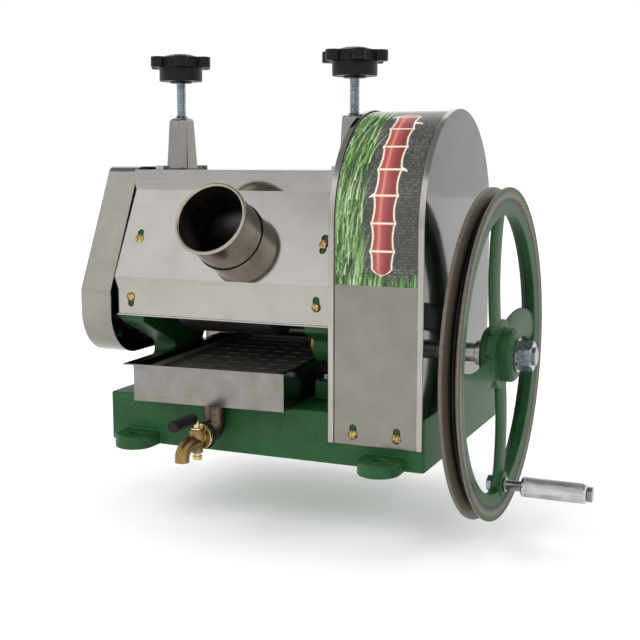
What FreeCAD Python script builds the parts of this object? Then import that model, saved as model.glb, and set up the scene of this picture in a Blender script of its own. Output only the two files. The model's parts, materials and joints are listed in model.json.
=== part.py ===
"""Manual sugarcane juicer: a hand-cranked three-roller mill on a cast base.

Frame: millimetres, +Z up, +X towards the crank wheel, -Y towards the user.  The origin is the
centre of the four bolt holes in the base's lugs, on the underside of the base.
"""
import FreeCAD, Part
import math
import os
import re

import Sketcher

Vector = FreeCAD.Vector
Rotation = FreeCAD.Rotation
Placement = FreeCAD.Placement

doc = FreeCAD.newDocument("cane_juicer")

# ---------------------------------------------------------------- driving dimensions
SIZES = [
    # cast base
    ("base_length", 320, "left to right"),
    ("base_depth", 246, "front to back"),
    ("base_height", 47, "underside to deck"),
    ("base_wall", 9, "casting wall"),
    ("base_deck", 10, "casting deck"),
    ("base_corner", 4, "radius of the upright corners"),
    ("base_edge", 2, "radius round the deck"),
    ("lug_radius", 19, "round end of each bolt lug"),
    ("lug_thickness", 12.5, "height of each lug"),
    ("lug_hole_radius", 5.5, "bolt hole of a lug"),
    ("lug_span", 247, "hole to hole, left to right"),
    ("lug_reach", 14, "hole centre beyond the base wall"),
    # rollers and their gears
    ("mill_y", -16, "middle plane of the mill"),
    ("top_roller_z", 206, "axis of the top roller"),
    ("lower_spacing", 42, "lower roller axis off the middle plane"),
    ("roller_module", 3, "roller gear module"),
    ("roller_teeth", 26, "teeth on each roller gear"),
    ("roller_nip", 1.6, "gap between top and lower rollers"),
    ("roller_start", -104, "left end of the roller barrels"),
    ("roller_length", 100.5, "barrel length"),
    ("roller_chamfer", 2, "barrel end chamfer"),
    ("shoulder_radius", 21, "shoulder beside each barrel"),
    ("journal_radius", 15, "roller journals"),
    ("seat_radius", 12, "gear seats on the roller shafts"),
    ("roller_gear_width", 22, "face width of a roller gear"),
    ("gear_offset", 5, "left frame to roller gear"),
    ("gear_backlash", 0.3, "thinning of each tooth"),
    ("running_clearance", 0.05, "radial clearance of a running fit"),
    ("seat_gap", 0.1, "gap between seated pieces"),
    ("loose_gap", 0.3, "gap between soft or curved seats"),
    # drive train
    ("drive_module", 2.5, "drive gear module"),
    ("drive_teeth", 70, "teeth on the drive gear"),
    ("pinion_teeth", 23, "teeth on the pinion"),
    ("drive_gear_x", 100, "left face of the drive gear"),
    ("drive_gear_width", 24, "face width of the drive gear"),
    ("drive_web", 8, "web of the drive gear"),
    ("drive_hub_radius", 24, "hub of the drive gear"),
    ("drive_rim", 10, "rim below the drive gear's roots"),
    ("drive_hole_radius", 14, "lightening holes"),
    ("drive_holes", 5, "number of lightening holes"),
    ("pinion_width", 28, "face width of the pinion"),
    ("crank_y", -63, "crank shaft axis, front to back"),
    ("crank_radius", 8.5, "crank shaft"),
    ("crank_start", 32, "inner end of the crank shaft"),
    ("crank_thread_radius", 8, "thread at the wheel nut"),
    ("crank_thread_length", 17, "thread past the wheel hub"),
    ("collar_radius", 11, "shaft collar"),
    ("collar_width", 7, "shaft collar"),
    ("key_width", 5, "pinion key"),
    ("key_height", 5, "pinion key"),
    # crank wheel
    ("wheel_x", 197.6, "inner face of the wheel rim"),
    ("wheel_width", 17.5, "rim width"),
    ("wheel_radius", 146.6, "rim outside"),
    ("ring_radius", 123.6, "rim inside"),
    ("ring_inset", 5.4, "rim face to the ring's inner edge"),
    ("ring_width", 8, "ring at its inner edge"),
    ("groove_depth", 12, "belt groove"),
    ("groove_lip", 3, "rim beside the belt groove"),
    ("groove_floor", 3, "bottom of the belt groove"),
    ("spoke_width", 28, "spoke across"),
    ("spoke_thickness", 8, "spoke through"),
    ("spoke_bow_at", 66, "radius where the bow is measured"),
    ("spoke_bow", 17.5, "bow of the spoke's centre line there"),
    ("spoke_end_at", 126, "radius where the spoke ends"),
    ("spoke_end", 7, "offset of the centre line there"),
    ("hub_radius", 24, "wheel hub"),
    ("hub_disc_radius", 31, "disc that the spokes run into"),
    ("hub_out", 10, "hub beyond the rim's outer face"),
    ("hub_in", 2, "hub beyond the rim's inner face"),
    ("hub_chamfer", 3, "hub nose"),
    ("washer_radius", 15, "wheel washer"),
    ("washer_thickness", 1.5, "wheel washer"),
    ("wheel_nut_flats", 24, "wheel nut across flats"),
    ("wheel_nut_height", 13, "wheel nut"),
    # crank handle
    ("handle_radius", 121.5, "handle axis from the wheel's axis"),
    ("handle_lead", 4.3, "handle axis ahead of the down spoke, degrees"),
    ("spindle_radius", 4.75, "handle spindle"),
    ("boss_rise", 1.5, "boss face beyond the ring's inner face"),
    ("spindle_stub", 16, "bare spindle between wheel and grip"),
    ("pad_radius", 12, "boss on the wheel under the spindle"),
    ("grip_radius", 9, "turning grip"),
    ("grip_length", 58, "turning grip"),
    ("grip_cap_radius", 6.8, "spindle head"),
    ("grip_cap_length", 4.5, "spindle head"),
    ("spindle_nut_flats", 13, "nut behind the wheel"),
    ("spindle_nut_height", 5.5, "nut behind the wheel"),
    # side frames
    ("frame_thickness", 26, "casting web"),
    ("left_frame_x", -158.5, "outer face of the left frame"),
    ("right_frame_x", 37.5, "inner face of the right frame"),
    ("left_pad", 12.5, "bearing pad inside the left frame"),
    ("right_pad", 3, "bearing pad inside the right frame"),
    ("frame_top_z", 246, "top of the castings"),
    ("frame_top_half", 47, "half width at the top"),
    ("frame_lip_half", 88, "half width at the lips"),
    ("frame_bend_z", 240, "top of the sloped faces"),
    ("frame_lip_top_z", 157, "bottom of the sloped faces"),
    ("frame_lip_z", 114, "underside of the lips"),
    ("frame_waist_half", 29, "half width at the waist"),
    ("frame_waist_z", 86, "waist"),
    ("foot_half", 64, "half width of the feet"),
    ("foot_height", 18, "foot above the deck"),
    ("waist_height", 14, "straight part of the waist"),
    ("waist_fillet", 8, "casting fillets"),
    ("slot_half", 22, "half width of the bearing slot"),
    ("block_height", 44, "sliding bearing block"),
    ("block_width", 26, "sliding bearing block along the shaft"),
    ("bush_wall", 4, "bronze bushes"),
    ("bush_flange", 3.5, "flange of the bronze bushes"),
    ("shaft_boss_radius", 21, "boss round the crank shaft"),
    ("shaft_boss_end", 94, "outer end of that boss"),
    ("foot_bolt_inset", 11, "foot bolt from the foot's end"),
    ("foot_bolt_radius", 5, "foot bolts"),
    ("foot_bolt_flats", 16, "foot bolt heads"),
    ("foot_bolt_head", 6.5, "foot bolt heads"),
    # caps and adjusters
    ("left_adjuster_x", -137.8, "left adjusting screw"),
    ("right_adjuster_x", 51.5, "right adjusting screw"),
    ("cap_half", 46, "half length of the bearing caps"),
    ("cap_top_z", 258.5, "top of the bearing caps"),
    ("cap_bolt_y", 38, "cap bolt off the middle plane"),
    ("cap_bolt_radius", 4, "cap bolts"),
    ("cap_bolt_length", 28, "cap bolts below the head"),
    ("cap_bolt_flats", 14, "cap bolt heads"),
    ("cap_bolt_head", 5.5, "cap bolt heads"),
    ("screw_radius", 5, "adjusting screws"),
    ("screw_top_z", 365, "top of the adjusting screws"),
    ("pressure_pad_radius", 12, "pressure pads"),
    ("pressure_pad_height", 8, "pressure pads"),
    ("pad_socket_depth", 5, "socket for the screw in each pad"),
    ("sleeve_top_z", 311, "top of the screw sleeves"),
    ("sleeve_top_x", 21, "sleeve across at the top"),
    ("sleeve_top_y", 17, "sleeve front to back at the top"),
    ("sleeve_foot_x", 24.5, "sleeve across at the foot"),
    ("sleeve_foot_y", 25, "sleeve front to back at the foot"),
    ("knob_z", 348, "underside of the knob hubs"),
    ("knob_hub_radius", 21.5, "knob hub"),
    ("knob_hub_height", 13, "knob hub"),
    ("knob_star_radius", 33, "knob across the lobes, half"),
    ("knob_star_height", 10.5, "knob lobes"),
    ("knob_lobe_radius", 7.5, "each lobe"),
    ("knob_lobes", 6, "number of lobes"),
    ("knob_dome", 3, "dome on the knob"),
    ("knob_collar_radius", 11, "collar under the hub"),
    ("knob_collar_height", 1.8, "collar under the hub"),
    # sheet metal round the mill
    ("sheet", 1.5, "thickness of the mill's sheets"),
    ("cover_sheet", 1.2, "thickness of the gear covers"),
    ("sheet_left", -164, "left edge of the sheets"),
    ("sheet_right", 70, "right edge of the sheets"),
    ("front_bottom_z", 120, "bottom edge of the front plate"),
    ("hem", 3, "folded hem"),
    ("notch_x", 24, "top plate notch round a cap bolt"),
    ("notch_y", 17, "top plate notch round a cap bolt"),
    ("plate_screw_high_z", 193, "upper sheet screws"),
    ("plate_screw_low_z", 138, "lower sheet screws"),
    ("slot_reach", 9.5, "slot's end from the middle of its screw"),
    ("slot_width", 6.6, "slots beside the sheet screws"),
    ("sheet_screw_radius", 2.5, "sheet screws"),
    ("sheet_screw_length", 12, "sheet screws below the head"),
    ("sheet_screw_head", 4.75, "radius of the sheet screw heads"),
    ("sheet_screw_head_height", 3.2, "sheet screw heads"),
    # feed tube
    ("tube_x", -48, "feed tube centre"),
    ("tube_root_z", 198, "feed tube axis at the panel"),
    ("tube_radius", 34, "feed tube outside"),
    ("tube_wall", 1.5, "feed tube wall"),
    ("tube_reach", 42, "feed tube beyond the panel"),
    ("tube_depth", 2, "feed tube behind the panel"),
    ("tube_gap", 1, "clearance of the panel round the tube"),
    ("tube_flange", 7, "flange of the tube behind the panel"),
    ("bead_radius", 2, "rolled rim"),
    # bagasse outlet
    ("outlet_half", 62, "half width of the outlet"),
    ("outlet_low_z", 166, "bottom of the outlet"),
    ("outlet_high_z", 206, "top of the outlet"),
    ("chute_length", 62, "chute beyond the rear plate"),
    ("chute_drop", 26, "fall along the chute"),
    ("chute_side", 22, "chute side walls"),
    # left gear cover
    ("left_cover_depth", 34, "cover beyond the sheets' left edge"),
    ("left_cover_half", 97, "half width at the bottom"),
    ("left_cover_top_half", 41, "half width at the top"),
    ("left_cover_bottom_z", 78, "underside"),
    ("left_cover_bend_z", 144, "bottom of the sloped faces"),
    ("left_cover_top_z", 263, "top"),
    ("left_cover_corner", 44, "bottom corners"),
    ("left_cover_fold", 10, "top corners"),
    ("stud_radius", 4, "cover studs"),
    ("stud_low_y", 83, "lower studs off the middle plane"),
    ("stud_low_z", 118, "lower studs"),
    ("stud_high_y", 34, "upper studs off the middle plane"),
    ("stud_high_z", 238, "upper studs"),
    # arched gear cover
    ("arch_x", 70.5, "left face of the arched cover"),
    ("arch_width", 88, "arched cover across"),
    ("arch_z", 210, "centre of the arch"),
    ("arch_radius", 105.7, "outside of the arch"),
    ("arch_front_z", 20, "lower end of the front"),
    ("spacer_y", 72, "spacers behind the cover, off the middle plane"),
    ("spacer_z", 146, "spacers behind the cover"),
    ("spacer_radius", 8, "spacers behind the cover"),
    ("arch_flange", 5.5, "rim folded over the wrap"),
    ("arch_recess", 0.3, "gap between rim and wrap"),
    ("arch_screw_inset", 23.6, "front screws from the cover's faces"),
    ("arch_screw_z", 29, "front screws"),
    ("arch_foot", 16, "rear foot of the wrap"),
    # juice tray and strainer
    ("tray_left", -115, "left wall of the tray"),
    ("tray_width", 150, "tray across"),
    ("tray_overhang", 28, "front wall ahead of the base"),
    ("tray_length", 204, "tray front to back"),
    ("tray_height", 34.5, "tray height"),
    ("tray_turn", 3.6, "tray turned to the left between the feet, degrees"),
    ("tray_sheet", 1.2, "tray sheet"),
    ("tray_left_lip", 11, "left lip, outwards"),
    ("tray_rear_lip", 5.5, "left lip at the back"),
    ("tray_right_lip", 4, "right lip, inwards"),
    ("strainer_left", 18, "strainer from the tray's left wall"),
    ("strainer_drop", 3, "plate below the tray's rim"),
    ("strainer_flange", 8, "left flange of the strainer"),
    ("strainer_window", 14, "ends left of the strainer's cut-away leg"),
    ("strainer_rows", 9, "rows of slots"),
    ("strainer_columns", 6, "slots in a row"),
    ("strainer_slot", 12, "length of each slot"),
    ("trash_plate_low_z", 124, "underside of the return plate"),
    ("trash_plate_stem", 3, "half thickness of its stem"),
    ("trash_plate_crown", 9, "half width of its crown"),
    ("trash_plate_gap", 2.8, "gap below the top roller"),
    ("trash_neck_z", 152, "top of its stem"),
    ("trash_pin_radius", 3, "its pins in the side frames"),
    ("trash_pin_length", 10, "its pins in the side frames"),
    ("tie_radius", 6, "tie rods"),
    ("tie_high_y", 48, "upper tie rod behind the middle plane"),
    ("tie_high_z", 216, "upper tie rod"),
    ("tie_low_z", 102, "lower tie rod"),
    ("tie_nut_flats", 16, "tie rod nuts"),
    ("tie_nut_height", 3.4, "tie rod nuts"),
    # tap
    ("nipple_x", -38.8, "outlet pipe of the tray"),
    ("nipple_ahead", 11.5, "outlet pipe ahead of the base"),
    ("nipple_radius", 10, "outlet pipe"),
    ("nipple_wall", 1.5, "outlet pipe"),
    ("nipple_bend", 12, "bend of the outlet pipe's middle line"),
    ("nipple_reach", 12.5, "end of the outlet pipe ahead of its upright part"),
    ("nipple_thread", 5, "threaded bush in the end of the outlet pipe"),
    ("gasket_radius", 12.8, "rubber gasket behind the tap's flange"),
    ("gasket_thickness", 2, "rubber gasket"),
    ("tap_turn", 76, "tap turned from the left towards the user, degrees"),
    ("tap_z", 20.5, "axis of the tap"),
    ("tap_flange_radius", 11.5, "tap flange"),
    ("tap_flange_width", 3.5, "tap flange"),
    ("tap_shank_radius", 5, "tap shank"),
    ("tap_seat", 5.8, "flange face to the plug axis"),
    ("tap_body_top", 7.2, "plug housing radius at the top"),
    ("tap_body_foot", 5.2, "plug housing radius at the foot"),
    ("tap_body_height", 21.5, "plug housing"),
    ("tap_body_rise", 7.5, "plug housing above the tap's axis"),
    ("spout_sink", 4, "spout below the tap's axis"),
    ("spout_radius", 6.6, "spout"),
    ("spout_reach", 19.5, "plug axis to the spout's mouth"),
    ("spout_drop", 19, "tap axis down to the spout's mouth"),
    ("spout_bend", 12, "bend of the spout's middle line"),
    ("spout_wall", 1.4, "spout wall"),
    ("plug_radius", 3.4, "tap plug"),
    ("plug_collar", 5.6, "tap plug collar"),
    ("plug_collar_height", 1.6, "tap plug collar"),
    ("plug_neck", 2.4, "bare plug above its nut"),
    ("plug_nut_flats", 8, "nut under the plug"),
    ("plug_nut_height", 4, "nut under the plug"),
    ("lever_radius", 2.7, "lever rod"),
    ("lever_rise", 5, "lever rod above the collar"),
    ("lever_bend", 4, "bend of the lever rod"),
    ("lever_grip_radius", 5.5, "lever grip"),
    ("lever_grip_length", 35, "lever grip"),
    ("lever_turn", 12, "lever turned from the spout towards the user, degrees"),
]
ALIASES = {name for name, size, note in SIZES}

sheet = doc.addObject("Spreadsheet::Sheet", "dims")
for row, (name, size, note) in enumerate(SIZES, start=1):
    sheet.set("A%d" % row, note)
    sheet.set("B%d" % row, str(size))
    sheet.setAlias("B%d" % row, name)
doc.recompute()


def formula(text):
    """Turn a formula in plain aliases into an expression on the sheet."""
    return re.sub(r"[a-z_]+", lambda word: ("dims." if word.group() in ALIASES else "") + word.group(),
                  str(text))


def value(text):
    """The present value of a formula."""
    return float(sheet.evalExpression(formula(text)))


# formulas used in several places
GEAR_DISTANCE = "(roller_module * roller_teeth)"
LOWER_Z = "(top_roller_z - sqrt(%s ^ 2 - lower_spacing ^ 2))" % GEAR_DISTANCE
ROLLER_RADIUS = "((%s - roller_nip) / 2)" % GEAR_DISTANCE
DRIVE_DISTANCE = "(drive_module * (drive_teeth + pinion_teeth) / 2)"
CRANK_Z = "(top_roller_z - sqrt(%s ^ 2 - (mill_y - crank_y) ^ 2))" % DRIVE_DISTANCE
FRONT_Y = "(mill_y - lower_spacing)"
REAR_Y = "(mill_y + lower_spacing)"
LEFT_INNER = "(left_frame_x + frame_thickness + left_pad)"
RIGHT_INNER = "(right_frame_x - right_pad)"
RIGHT_OUTER = "(right_frame_x + frame_thickness)"
SLOPE = "(atan((frame_lip_half - frame_top_half) / (frame_bend_z - frame_lip_top_z)) / 1 deg)"
HUB_END = "(wheel_x + wheel_width + hub_out)"
TRAY_FLOOR_Z = "(base_height + loose_gap)"
TRAY_FRONT_Y = "(-base_depth / 2 - tray_overhang)"
NIPPLE_Y = "(-base_depth / 2 - nipple_ahead)"
TRAY_TOP_Z = "(%s + tray_height)" % TRAY_FLOOR_Z
BLOCK_TOP_Z = "(top_roller_z + block_height / 2)"
SLOT_FLOOR_Z = "(top_roller_z - block_height / 2)"
PAD_FOOT_Z = "(%s + loose_gap)" % BLOCK_TOP_Z
ARCH_RIGHT = "(arch_x + arch_width)"
WRAP_RADIUS = "(arch_radius - cover_sheet - arch_recess)"
ARCH_Y = "(%s - cover_sheet - base_depth / 2)" % WRAP_RADIUS
ARCH_FOOT_Y = "(%s + %s + arch_foot / 2)" % (ARCH_Y, WRAP_RADIUS)


# ---------------------------------------------------------------- building blocks
def bind(target, **formulas):
    """Bind properties of an object to formulas; a double underscore stands for a dot."""
    for name, text in formulas.items():
        target.setExpression(name.replace("__", "."), formula(text))


def put(target, x=0, y=0, z=0):
    """Bind an object's place to formulas."""
    bind(target, Placement__Base__x=x, Placement__Base__y=y, Placement__Base__z=z)
    return target


def box(name, x, y, z):
    """A block between pairs of formulas."""
    block = doc.addObject("Part::Box", name)
    bind(block, Length="(%s) - (%s)" % (x[1], x[0]), Width="(%s) - (%s)" % (y[1], y[0]),
         Height="(%s) - (%s)" % (z[1], z[0]))
    return put(block, x[0], y[0], z[0])


TURNS = {"x": Rotation(Vector(0, 1, 0), 90), "y": Rotation(Vector(1, 0, 0), -90), "z": Rotation()}


def along(solid, axis, start, centre):
    """Turn an upright primitive to lie along an axis, from start, through centre."""
    solid.Placement = Placement(Vector(), TURNS[axis])
    places = {"x": (start, centre[0], centre[1]), "y": (centre[0], start, centre[1]),
              "z": (centre[0], centre[1], start)}
    return put(solid, *places[axis])


def rod(name, axis, radius, start, end, centre):
    """A cylinder along an axis between two formulas."""
    solid = doc.addObject("Part::Cylinder", name)
    bind(solid, Radius=radius, Height="(%s) - (%s)" % (end, start))
    return along(solid, axis, start, centre)


def hexagon(name, axis, flats, start, end, centre):
    """A six-sided prism along an axis."""
    solid = doc.addObject("Part::Prism", name)
    solid.Polygon = 6
    bind(solid, Circumradius="(%s) / sqrt(3)" % flats, Height="(%s) - (%s)" % (end, start))
    return along(solid, axis, start, centre)


def cut(name, base, *tools):
    """Take the tools away from the base."""
    result = doc.addObject("Part::Cut", name)
    result.Base = base
    result.Tool = tools[0] if len(tools) == 1 else fuse(name + "_tools", *tools)
    result.Refine = False
    return result


def fuse(name, *solids):
    """Join solids, or keep separate ones together in one object."""
    result = doc.addObject("Part::MultiFuse", name)
    result.Shapes = list(solids)
    result.Refine = False
    return result


def group(name, *solids):
    """Separate solids kept as one sub-part."""
    result = doc.addObject("Part::Compound", name)
    result.Links = list(solids)
    return result


def origin_part(body, role):
    """One of a body's own origin planes or axes."""
    return [item for item in body.Origin.OriginFeatures if item.Role == role][0]


def outline(body, role, points):
    """A closed sketch through formula points, every corner bound to the sheet."""
    sketch = body.newObject("Sketcher::SketchObject", body.Name + "_sketch")
    sketch.AttachmentSupport = [(origin_part(body, role), "")]
    sketch.MapMode = "FlatFace"
    corners = [Vector(value(a), value(b), 0) for a, b in points]
    last = len(points)
    for index in range(last):
        sketch.addGeometry(Part.LineSegment(corners[index], corners[(index + 1) % last]), False)
    for index in range(last):
        sketch.addConstraint(Sketcher.Constraint("Coincident", index, 2, (index + 1) % last, 1))
    for index, (a, b) in enumerate(points):
        across = sketch.addConstraint(Sketcher.Constraint("DistanceX", -1, 1, index, 1, corners[index].x))
        sketch.setExpression("Constraints[%d]" % across, formula(a))
        up = sketch.addConstraint(Sketcher.Constraint("DistanceY", -1, 1, index, 1, corners[index].y))
        sketch.setExpression("Constraints[%d]" % up, formula(b))
    return sketch


def slab(name, role, points, length):
    """A body: an outline padded along its plane's normal."""
    body = doc.addObject("PartDesign::Body", name)
    pad = body.newObject("PartDesign::Pad", name + "_pad")
    pad.Profile = outline(body, role, points)
    bind(pad, Length=length)
    return body


def lathe(name, axis, points):
    """A body turned about the X or Z axis from (along, radius) formula points."""
    body = doc.addObject("PartDesign::Body", name)
    turn = body.newObject("PartDesign::Revolution", name + "_turn")
    if axis == "x":
        turn.Profile = outline(body, "XY_Plane", points)
        turn.ReferenceAxis = (origin_part(body, "X_Axis"), [""])
    else:
        turn.Profile = outline(body, "XZ_Plane", [(radius, place) for place, radius in points])
        turn.ReferenceAxis = (origin_part(body, "Z_Axis"), [""])
    turn.Angle = 360
    return body


def round_edges(body, radius, pick):
    """Fillet the edges of a body's last feature that pick() accepts."""
    doc.recompute()
    base = body.Tip
    names = ["Edge%d" % (index + 1) for index, edge in enumerate(base.Shape.Edges) if pick(edge)]
    fillet = body.newObject("PartDesign::Fillet", body.Name + "_fillet")
    fillet.Base = (base, names)
    bind(fillet, Radius=radius)
    body.Tip = fillet
    return body


def upright(edge):
    """True for a straight edge along Z."""
    return abs(edge.tangentAt(edge.FirstParameter).z) > 0.999


def feature(name, shape):
    """A sub-part whose shape is worked out from the sheet's values."""
    result = doc.addObject("Part::Feature", name)
    result.Shape = shape
    result.Placement = Placement()
    return result


def mirrored(points):
    """A half outline of (offset from the middle plane, height) completed to both sides."""
    right = [("mill_y + (%s)" % offset, height) for offset, height in points]
    left = [("mill_y - (%s)" % offset, height) for offset, height in reversed(points)]
    return right + left


# ---------------------------------------------------------------- base
def make_base():
    half_x = "base_length / 2"
    half_y = "base_depth / 2"
    shell = slab("base_shell", "XY_Plane", [("-" + half_x, "-" + half_y), (half_x, "-" + half_y),
                                            (half_x, half_y), ("-" + half_x, half_y)], "base_height")
    round_edges(shell, "base_corner", upright)
    deck = value("base_height")
    round_edges(shell, "base_edge",
                lambda edge: min(vertex.Z for vertex in edge.Vertexes) > deck - 0.01)
    parts = [shell]
    holes = []
    for side in (-1, 1):
        for end in (-1, 1):
            x = "%d * lug_span / 2" % side
            y = "%d * (base_depth / 2 + lug_reach)" % end
            inner = "%d * (base_depth / 2 - base_wall)" % end
            low, high = (y, inner) if end < 0 else (inner, y)
            parts.append(rod("lug_end", "z", "lug_radius", 0, "lug_thickness", (x, y)))
            parts.append(box("lug_web", (x + " - lug_radius", x + " + lug_radius"), (low, high),
                             (0, "lug_thickness")))
            holes.append(rod("lug_hole", "z", "lug_hole_radius", "-1", "lug_thickness + 1", (x, y)))
    hollow_x = half_x + " - base_wall"
    hollow_y = half_y + " - base_wall"
    holes.append(box("base_hollow", ("-(%s)" % hollow_x, hollow_x), ("-(%s)" % hollow_y, hollow_y),
                     ("-1", "base_height - base_deck")))
    for frame_x in FOOT_ROWS:
        for end in (-1, 1):
            holes.append(rod("deck_hole", "z", "foot_bolt_radius + seat_gap", "base_height - base_deck - 1",
                             "base_height + 1", (frame_x, foot_bolt_y(end))))
    for inset in ARCH_SCREW_ROWS:
        holes.append(rod("arch_screw_hole", "y", "sheet_screw_radius + seat_gap", "-base_depth / 2 - 1",
                         "-base_depth / 2 + base_wall + 1", (inset, "arch_screw_z")))
        holes.append(rod("arch_foot_hole", "z", "sheet_screw_radius + seat_gap",
                         "base_height - base_deck - 1", "base_height + 1",
                         (inset, ARCH_FOOT_Y)))
    return cut("base_casting", fuse("base_solid", *parts), *holes)


PROFILE = [
    ("foot_half", "base_height"),
    ("foot_half", "base_height + foot_height"),
    ("frame_waist_half", "frame_waist_z - waist_height"),
    ("frame_waist_half", "frame_waist_z"),
    ("frame_lip_half", "frame_lip_z"),
    ("frame_lip_half", "frame_lip_top_z"),
    ("frame_top_half", "frame_bend_z"),
    ("frame_top_half", "frame_top_z"),
]


def stand_out(target, place, depth):
    """Stand an upright piece out of the front or rear face, its foot a depth below the face."""
    x, side, offset, z, angle = place
    target.Placement = Placement(Vector(), Rotation(Vector(-side, 0, 0), 90))
    bind(target, Placement__Rotation__Angle="90 - (%s)" % angle)
    return put(target, x, "mill_y + %d * ((%s) - (%s) * cos(%s))" % (side, offset, depth, angle),
               "(%s) - (%s) * sin(%s)" % (z, depth, angle))


def outward_rod(name, radius, length, place, depth):
    """A cylinder standing out of the front or rear face."""
    solid = doc.addObject("Part::Cylinder", name)
    bind(solid, Radius=radius, Height=length)
    return stand_out(solid, place, depth)


def make_frame(name, web_x, pad, low, high, adjuster):
    """The solids and the cuts of a side frame that spans low to high along X."""
    web = put(slab(name + "_web", "YZ_Plane", mirrored(PROFILE), "frame_thickness"), web_x)
    waists = [value("mill_y") + side * value("frame_waist_half") for side in (-1, 1)]
    round_edges(web, "waist_fillet",
                lambda edge: abs(edge.tangentAt(edge.FirstParameter).x) > 0.999
                and any(abs(edge.Vertexes[0].Y - place) < 0.01 for place in waists))
    solids = [web, box(name + "_pad", pad, ("mill_y - frame_top_half", "mill_y + frame_top_half"),
                       (SLOT_FLOOR_Z + " - base_deck", "frame_top_z"))]
    for y in (FRONT_Y, REAR_Y):
        solids.append(rod(name + "_bush_pad", "x", "journal_radius + 2 * bush_wall + loose_gap", *pad,
                          (y, LOWER_Z)))
    before = low + " - 1"
    after = high + " + 1"
    cuts = [box(name + "_slot", (before, after), ("mill_y - slot_half", "mill_y + slot_half"),
                (SLOT_FLOOR_Z, "frame_top_z + 1"))]
    for y in (FRONT_Y, REAR_Y):
        cuts.append(rod(name + "_bore", "x", "journal_radius + bush_wall + seat_gap", before, after,
                        (y, LOWER_Z)))
    for end in (-1, 1):
        cuts.append(rod(name + "_cap_hole", "z", "cap_bolt_radius + seat_gap",
                        "cap_top_z - cap_bolt_length - 1", "frame_top_z + 1",
                        (adjuster, "mill_y + %d * cap_bolt_y" % end)))
        foot_centre = (web_x + " + frame_thickness / 2", foot_bolt_y(end))
        cuts.append(rod(name + "_foot_hole", "z", "foot_bolt_radius + seat_gap", "base_height - 1",
                        "base_height + foot_height + 1", foot_centre))
        cuts.append(rod(name + "_foot_seat", "z", "foot_bolt_flats / sqrt(3) + 1",
                        "base_height + foot_height", "base_height + 2 * foot_height", foot_centre))
    for y, z in TIE_PLACES:
        cuts.append(rod(name + "_tie_hole", "x", "tie_radius + seat_gap", before, after, (y, z)))
    cuts.append(rod(name + "_pin_hole", "x", "trash_pin_radius + seat_gap",
                    web_x + " - 1", web_x + " + frame_thickness + 1", TRASH_PIN))
    for place in PLATE_SCREWS:
        if place[0] == web_x + " + frame_thickness / 2":
            cuts.append(outward_rod(name + "_screw_hole", "sheet_screw_radius + seat_gap",
                                    "2 * sheet_screw_length", place, "sheet_screw_length"))
    return solids, cuts


def make_side_frames():
    left_x = "left_frame_x"
    right_x = "right_frame_x"
    solids, cuts = make_frame("left", left_x, (left_x + " + frame_thickness", LEFT_INNER), left_x,
                              LEFT_INNER, "left_adjuster_x")
    for y, z in STUD_PLACES:
        cuts.append(rod("left_stud_hole", "x", "stud_radius / 2 + seat_gap", left_x + " - 1",
                        left_x + " + frame_thickness / 2", (y, z)))
    left = cut("left_side_frame", fuse("left_frame_solid", *solids), *cuts)
    solids, cuts = make_frame("right", right_x, (RIGHT_INNER, right_x), RIGHT_INNER, RIGHT_OUTER,
                              "right_adjuster_x")
    solids.append(rod("shaft_boss", "x", "shaft_boss_radius", right_x, "shaft_boss_end",
                      ("crank_y", CRANK_Z)))
    cuts.append(rod("shaft_bore", "x", "crank_radius + bush_wall + seat_gap", right_x + " - 1",
                    "shaft_boss_end + 1", ("crank_y", CRANK_Z)))
    for y, z in SPACER_PLACES:
        solids.append(rod("arch_spacer", "x", "spacer_radius", RIGHT_OUTER, "arch_x", (y, z)))
        cuts.append(rod("arch_spacer_hole", "x", "sheet_screw_radius + seat_gap",
                        "arch_x - 1 - sheet_screw_length", "arch_x + 1", (y, z)))
    right = cut("right_side_frame", fuse("right_frame_solid", *solids), *cuts)
    return left, right


def foot_bolt_y(end):
    """Front (-1) or rear (1) foot bolt."""
    return "mill_y + %d * (foot_half - foot_bolt_inset)" % end


def bolt(name, axis, radius, flats, head, length, seat, centre):
    """A hexagon bolt with its head above the seat and its shank below."""
    return fuse(name, hexagon(name + "_head", axis, flats, seat, "%s + %s" % (seat, head), centre),
                rod(name + "_shank", axis, radius, "%s - %s" % (seat, length), seat, centre))


def make_frame_bolts():
    bolts = []
    for x in FOOT_ROWS:
        for end in (-1, 1):
            bolts.append(bolt("foot_bolt", "z", "foot_bolt_radius", "foot_bolt_flats", "foot_bolt_head",
                              "(foot_height + base_deck)", "base_height + foot_height",
                              (x, foot_bolt_y(end))))
    return group("frame_foot_bolts", *bolts)


FOOT_ROWS = ("left_frame_x + frame_thickness / 2", "right_frame_x + frame_thickness / 2")
TRASH_PIN = ("mill_y", "(trash_plate_low_z + trash_neck_z) / 2")
TIE_PLACES = (("mill_y + tie_high_y", "tie_high_z"), ("mill_y", "tie_low_z"))
STUD_PLACES = (("mill_y - stud_low_y", "stud_low_z"), ("mill_y + stud_low_y", "stud_low_z"),
               ("mill_y - stud_high_y", "stud_high_z"), ("mill_y + stud_high_y", "stud_high_z"))
SPACER_PLACES = (("mill_y - spacer_y", "spacer_z"), ("mill_y + spacer_y", "spacer_z"))


def plate_face(z):
    """Offset of the sloped sheet seat from the middle plane, at a height."""
    return "(frame_top_half + (frame_bend_z - (%s)) * tan(%s))" % (z, SLOPE)


PLATE_SCREWS = []
for screw_x in FOOT_ROWS:
    for screw_side in (-1, 1):
        PLATE_SCREWS.append((screw_x, screw_side, plate_face("plate_screw_high_z"), "plate_screw_high_z",
                             SLOPE))
        PLATE_SCREWS.append((screw_x, screw_side, "frame_lip_half", "plate_screw_low_z", "0"))


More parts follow.
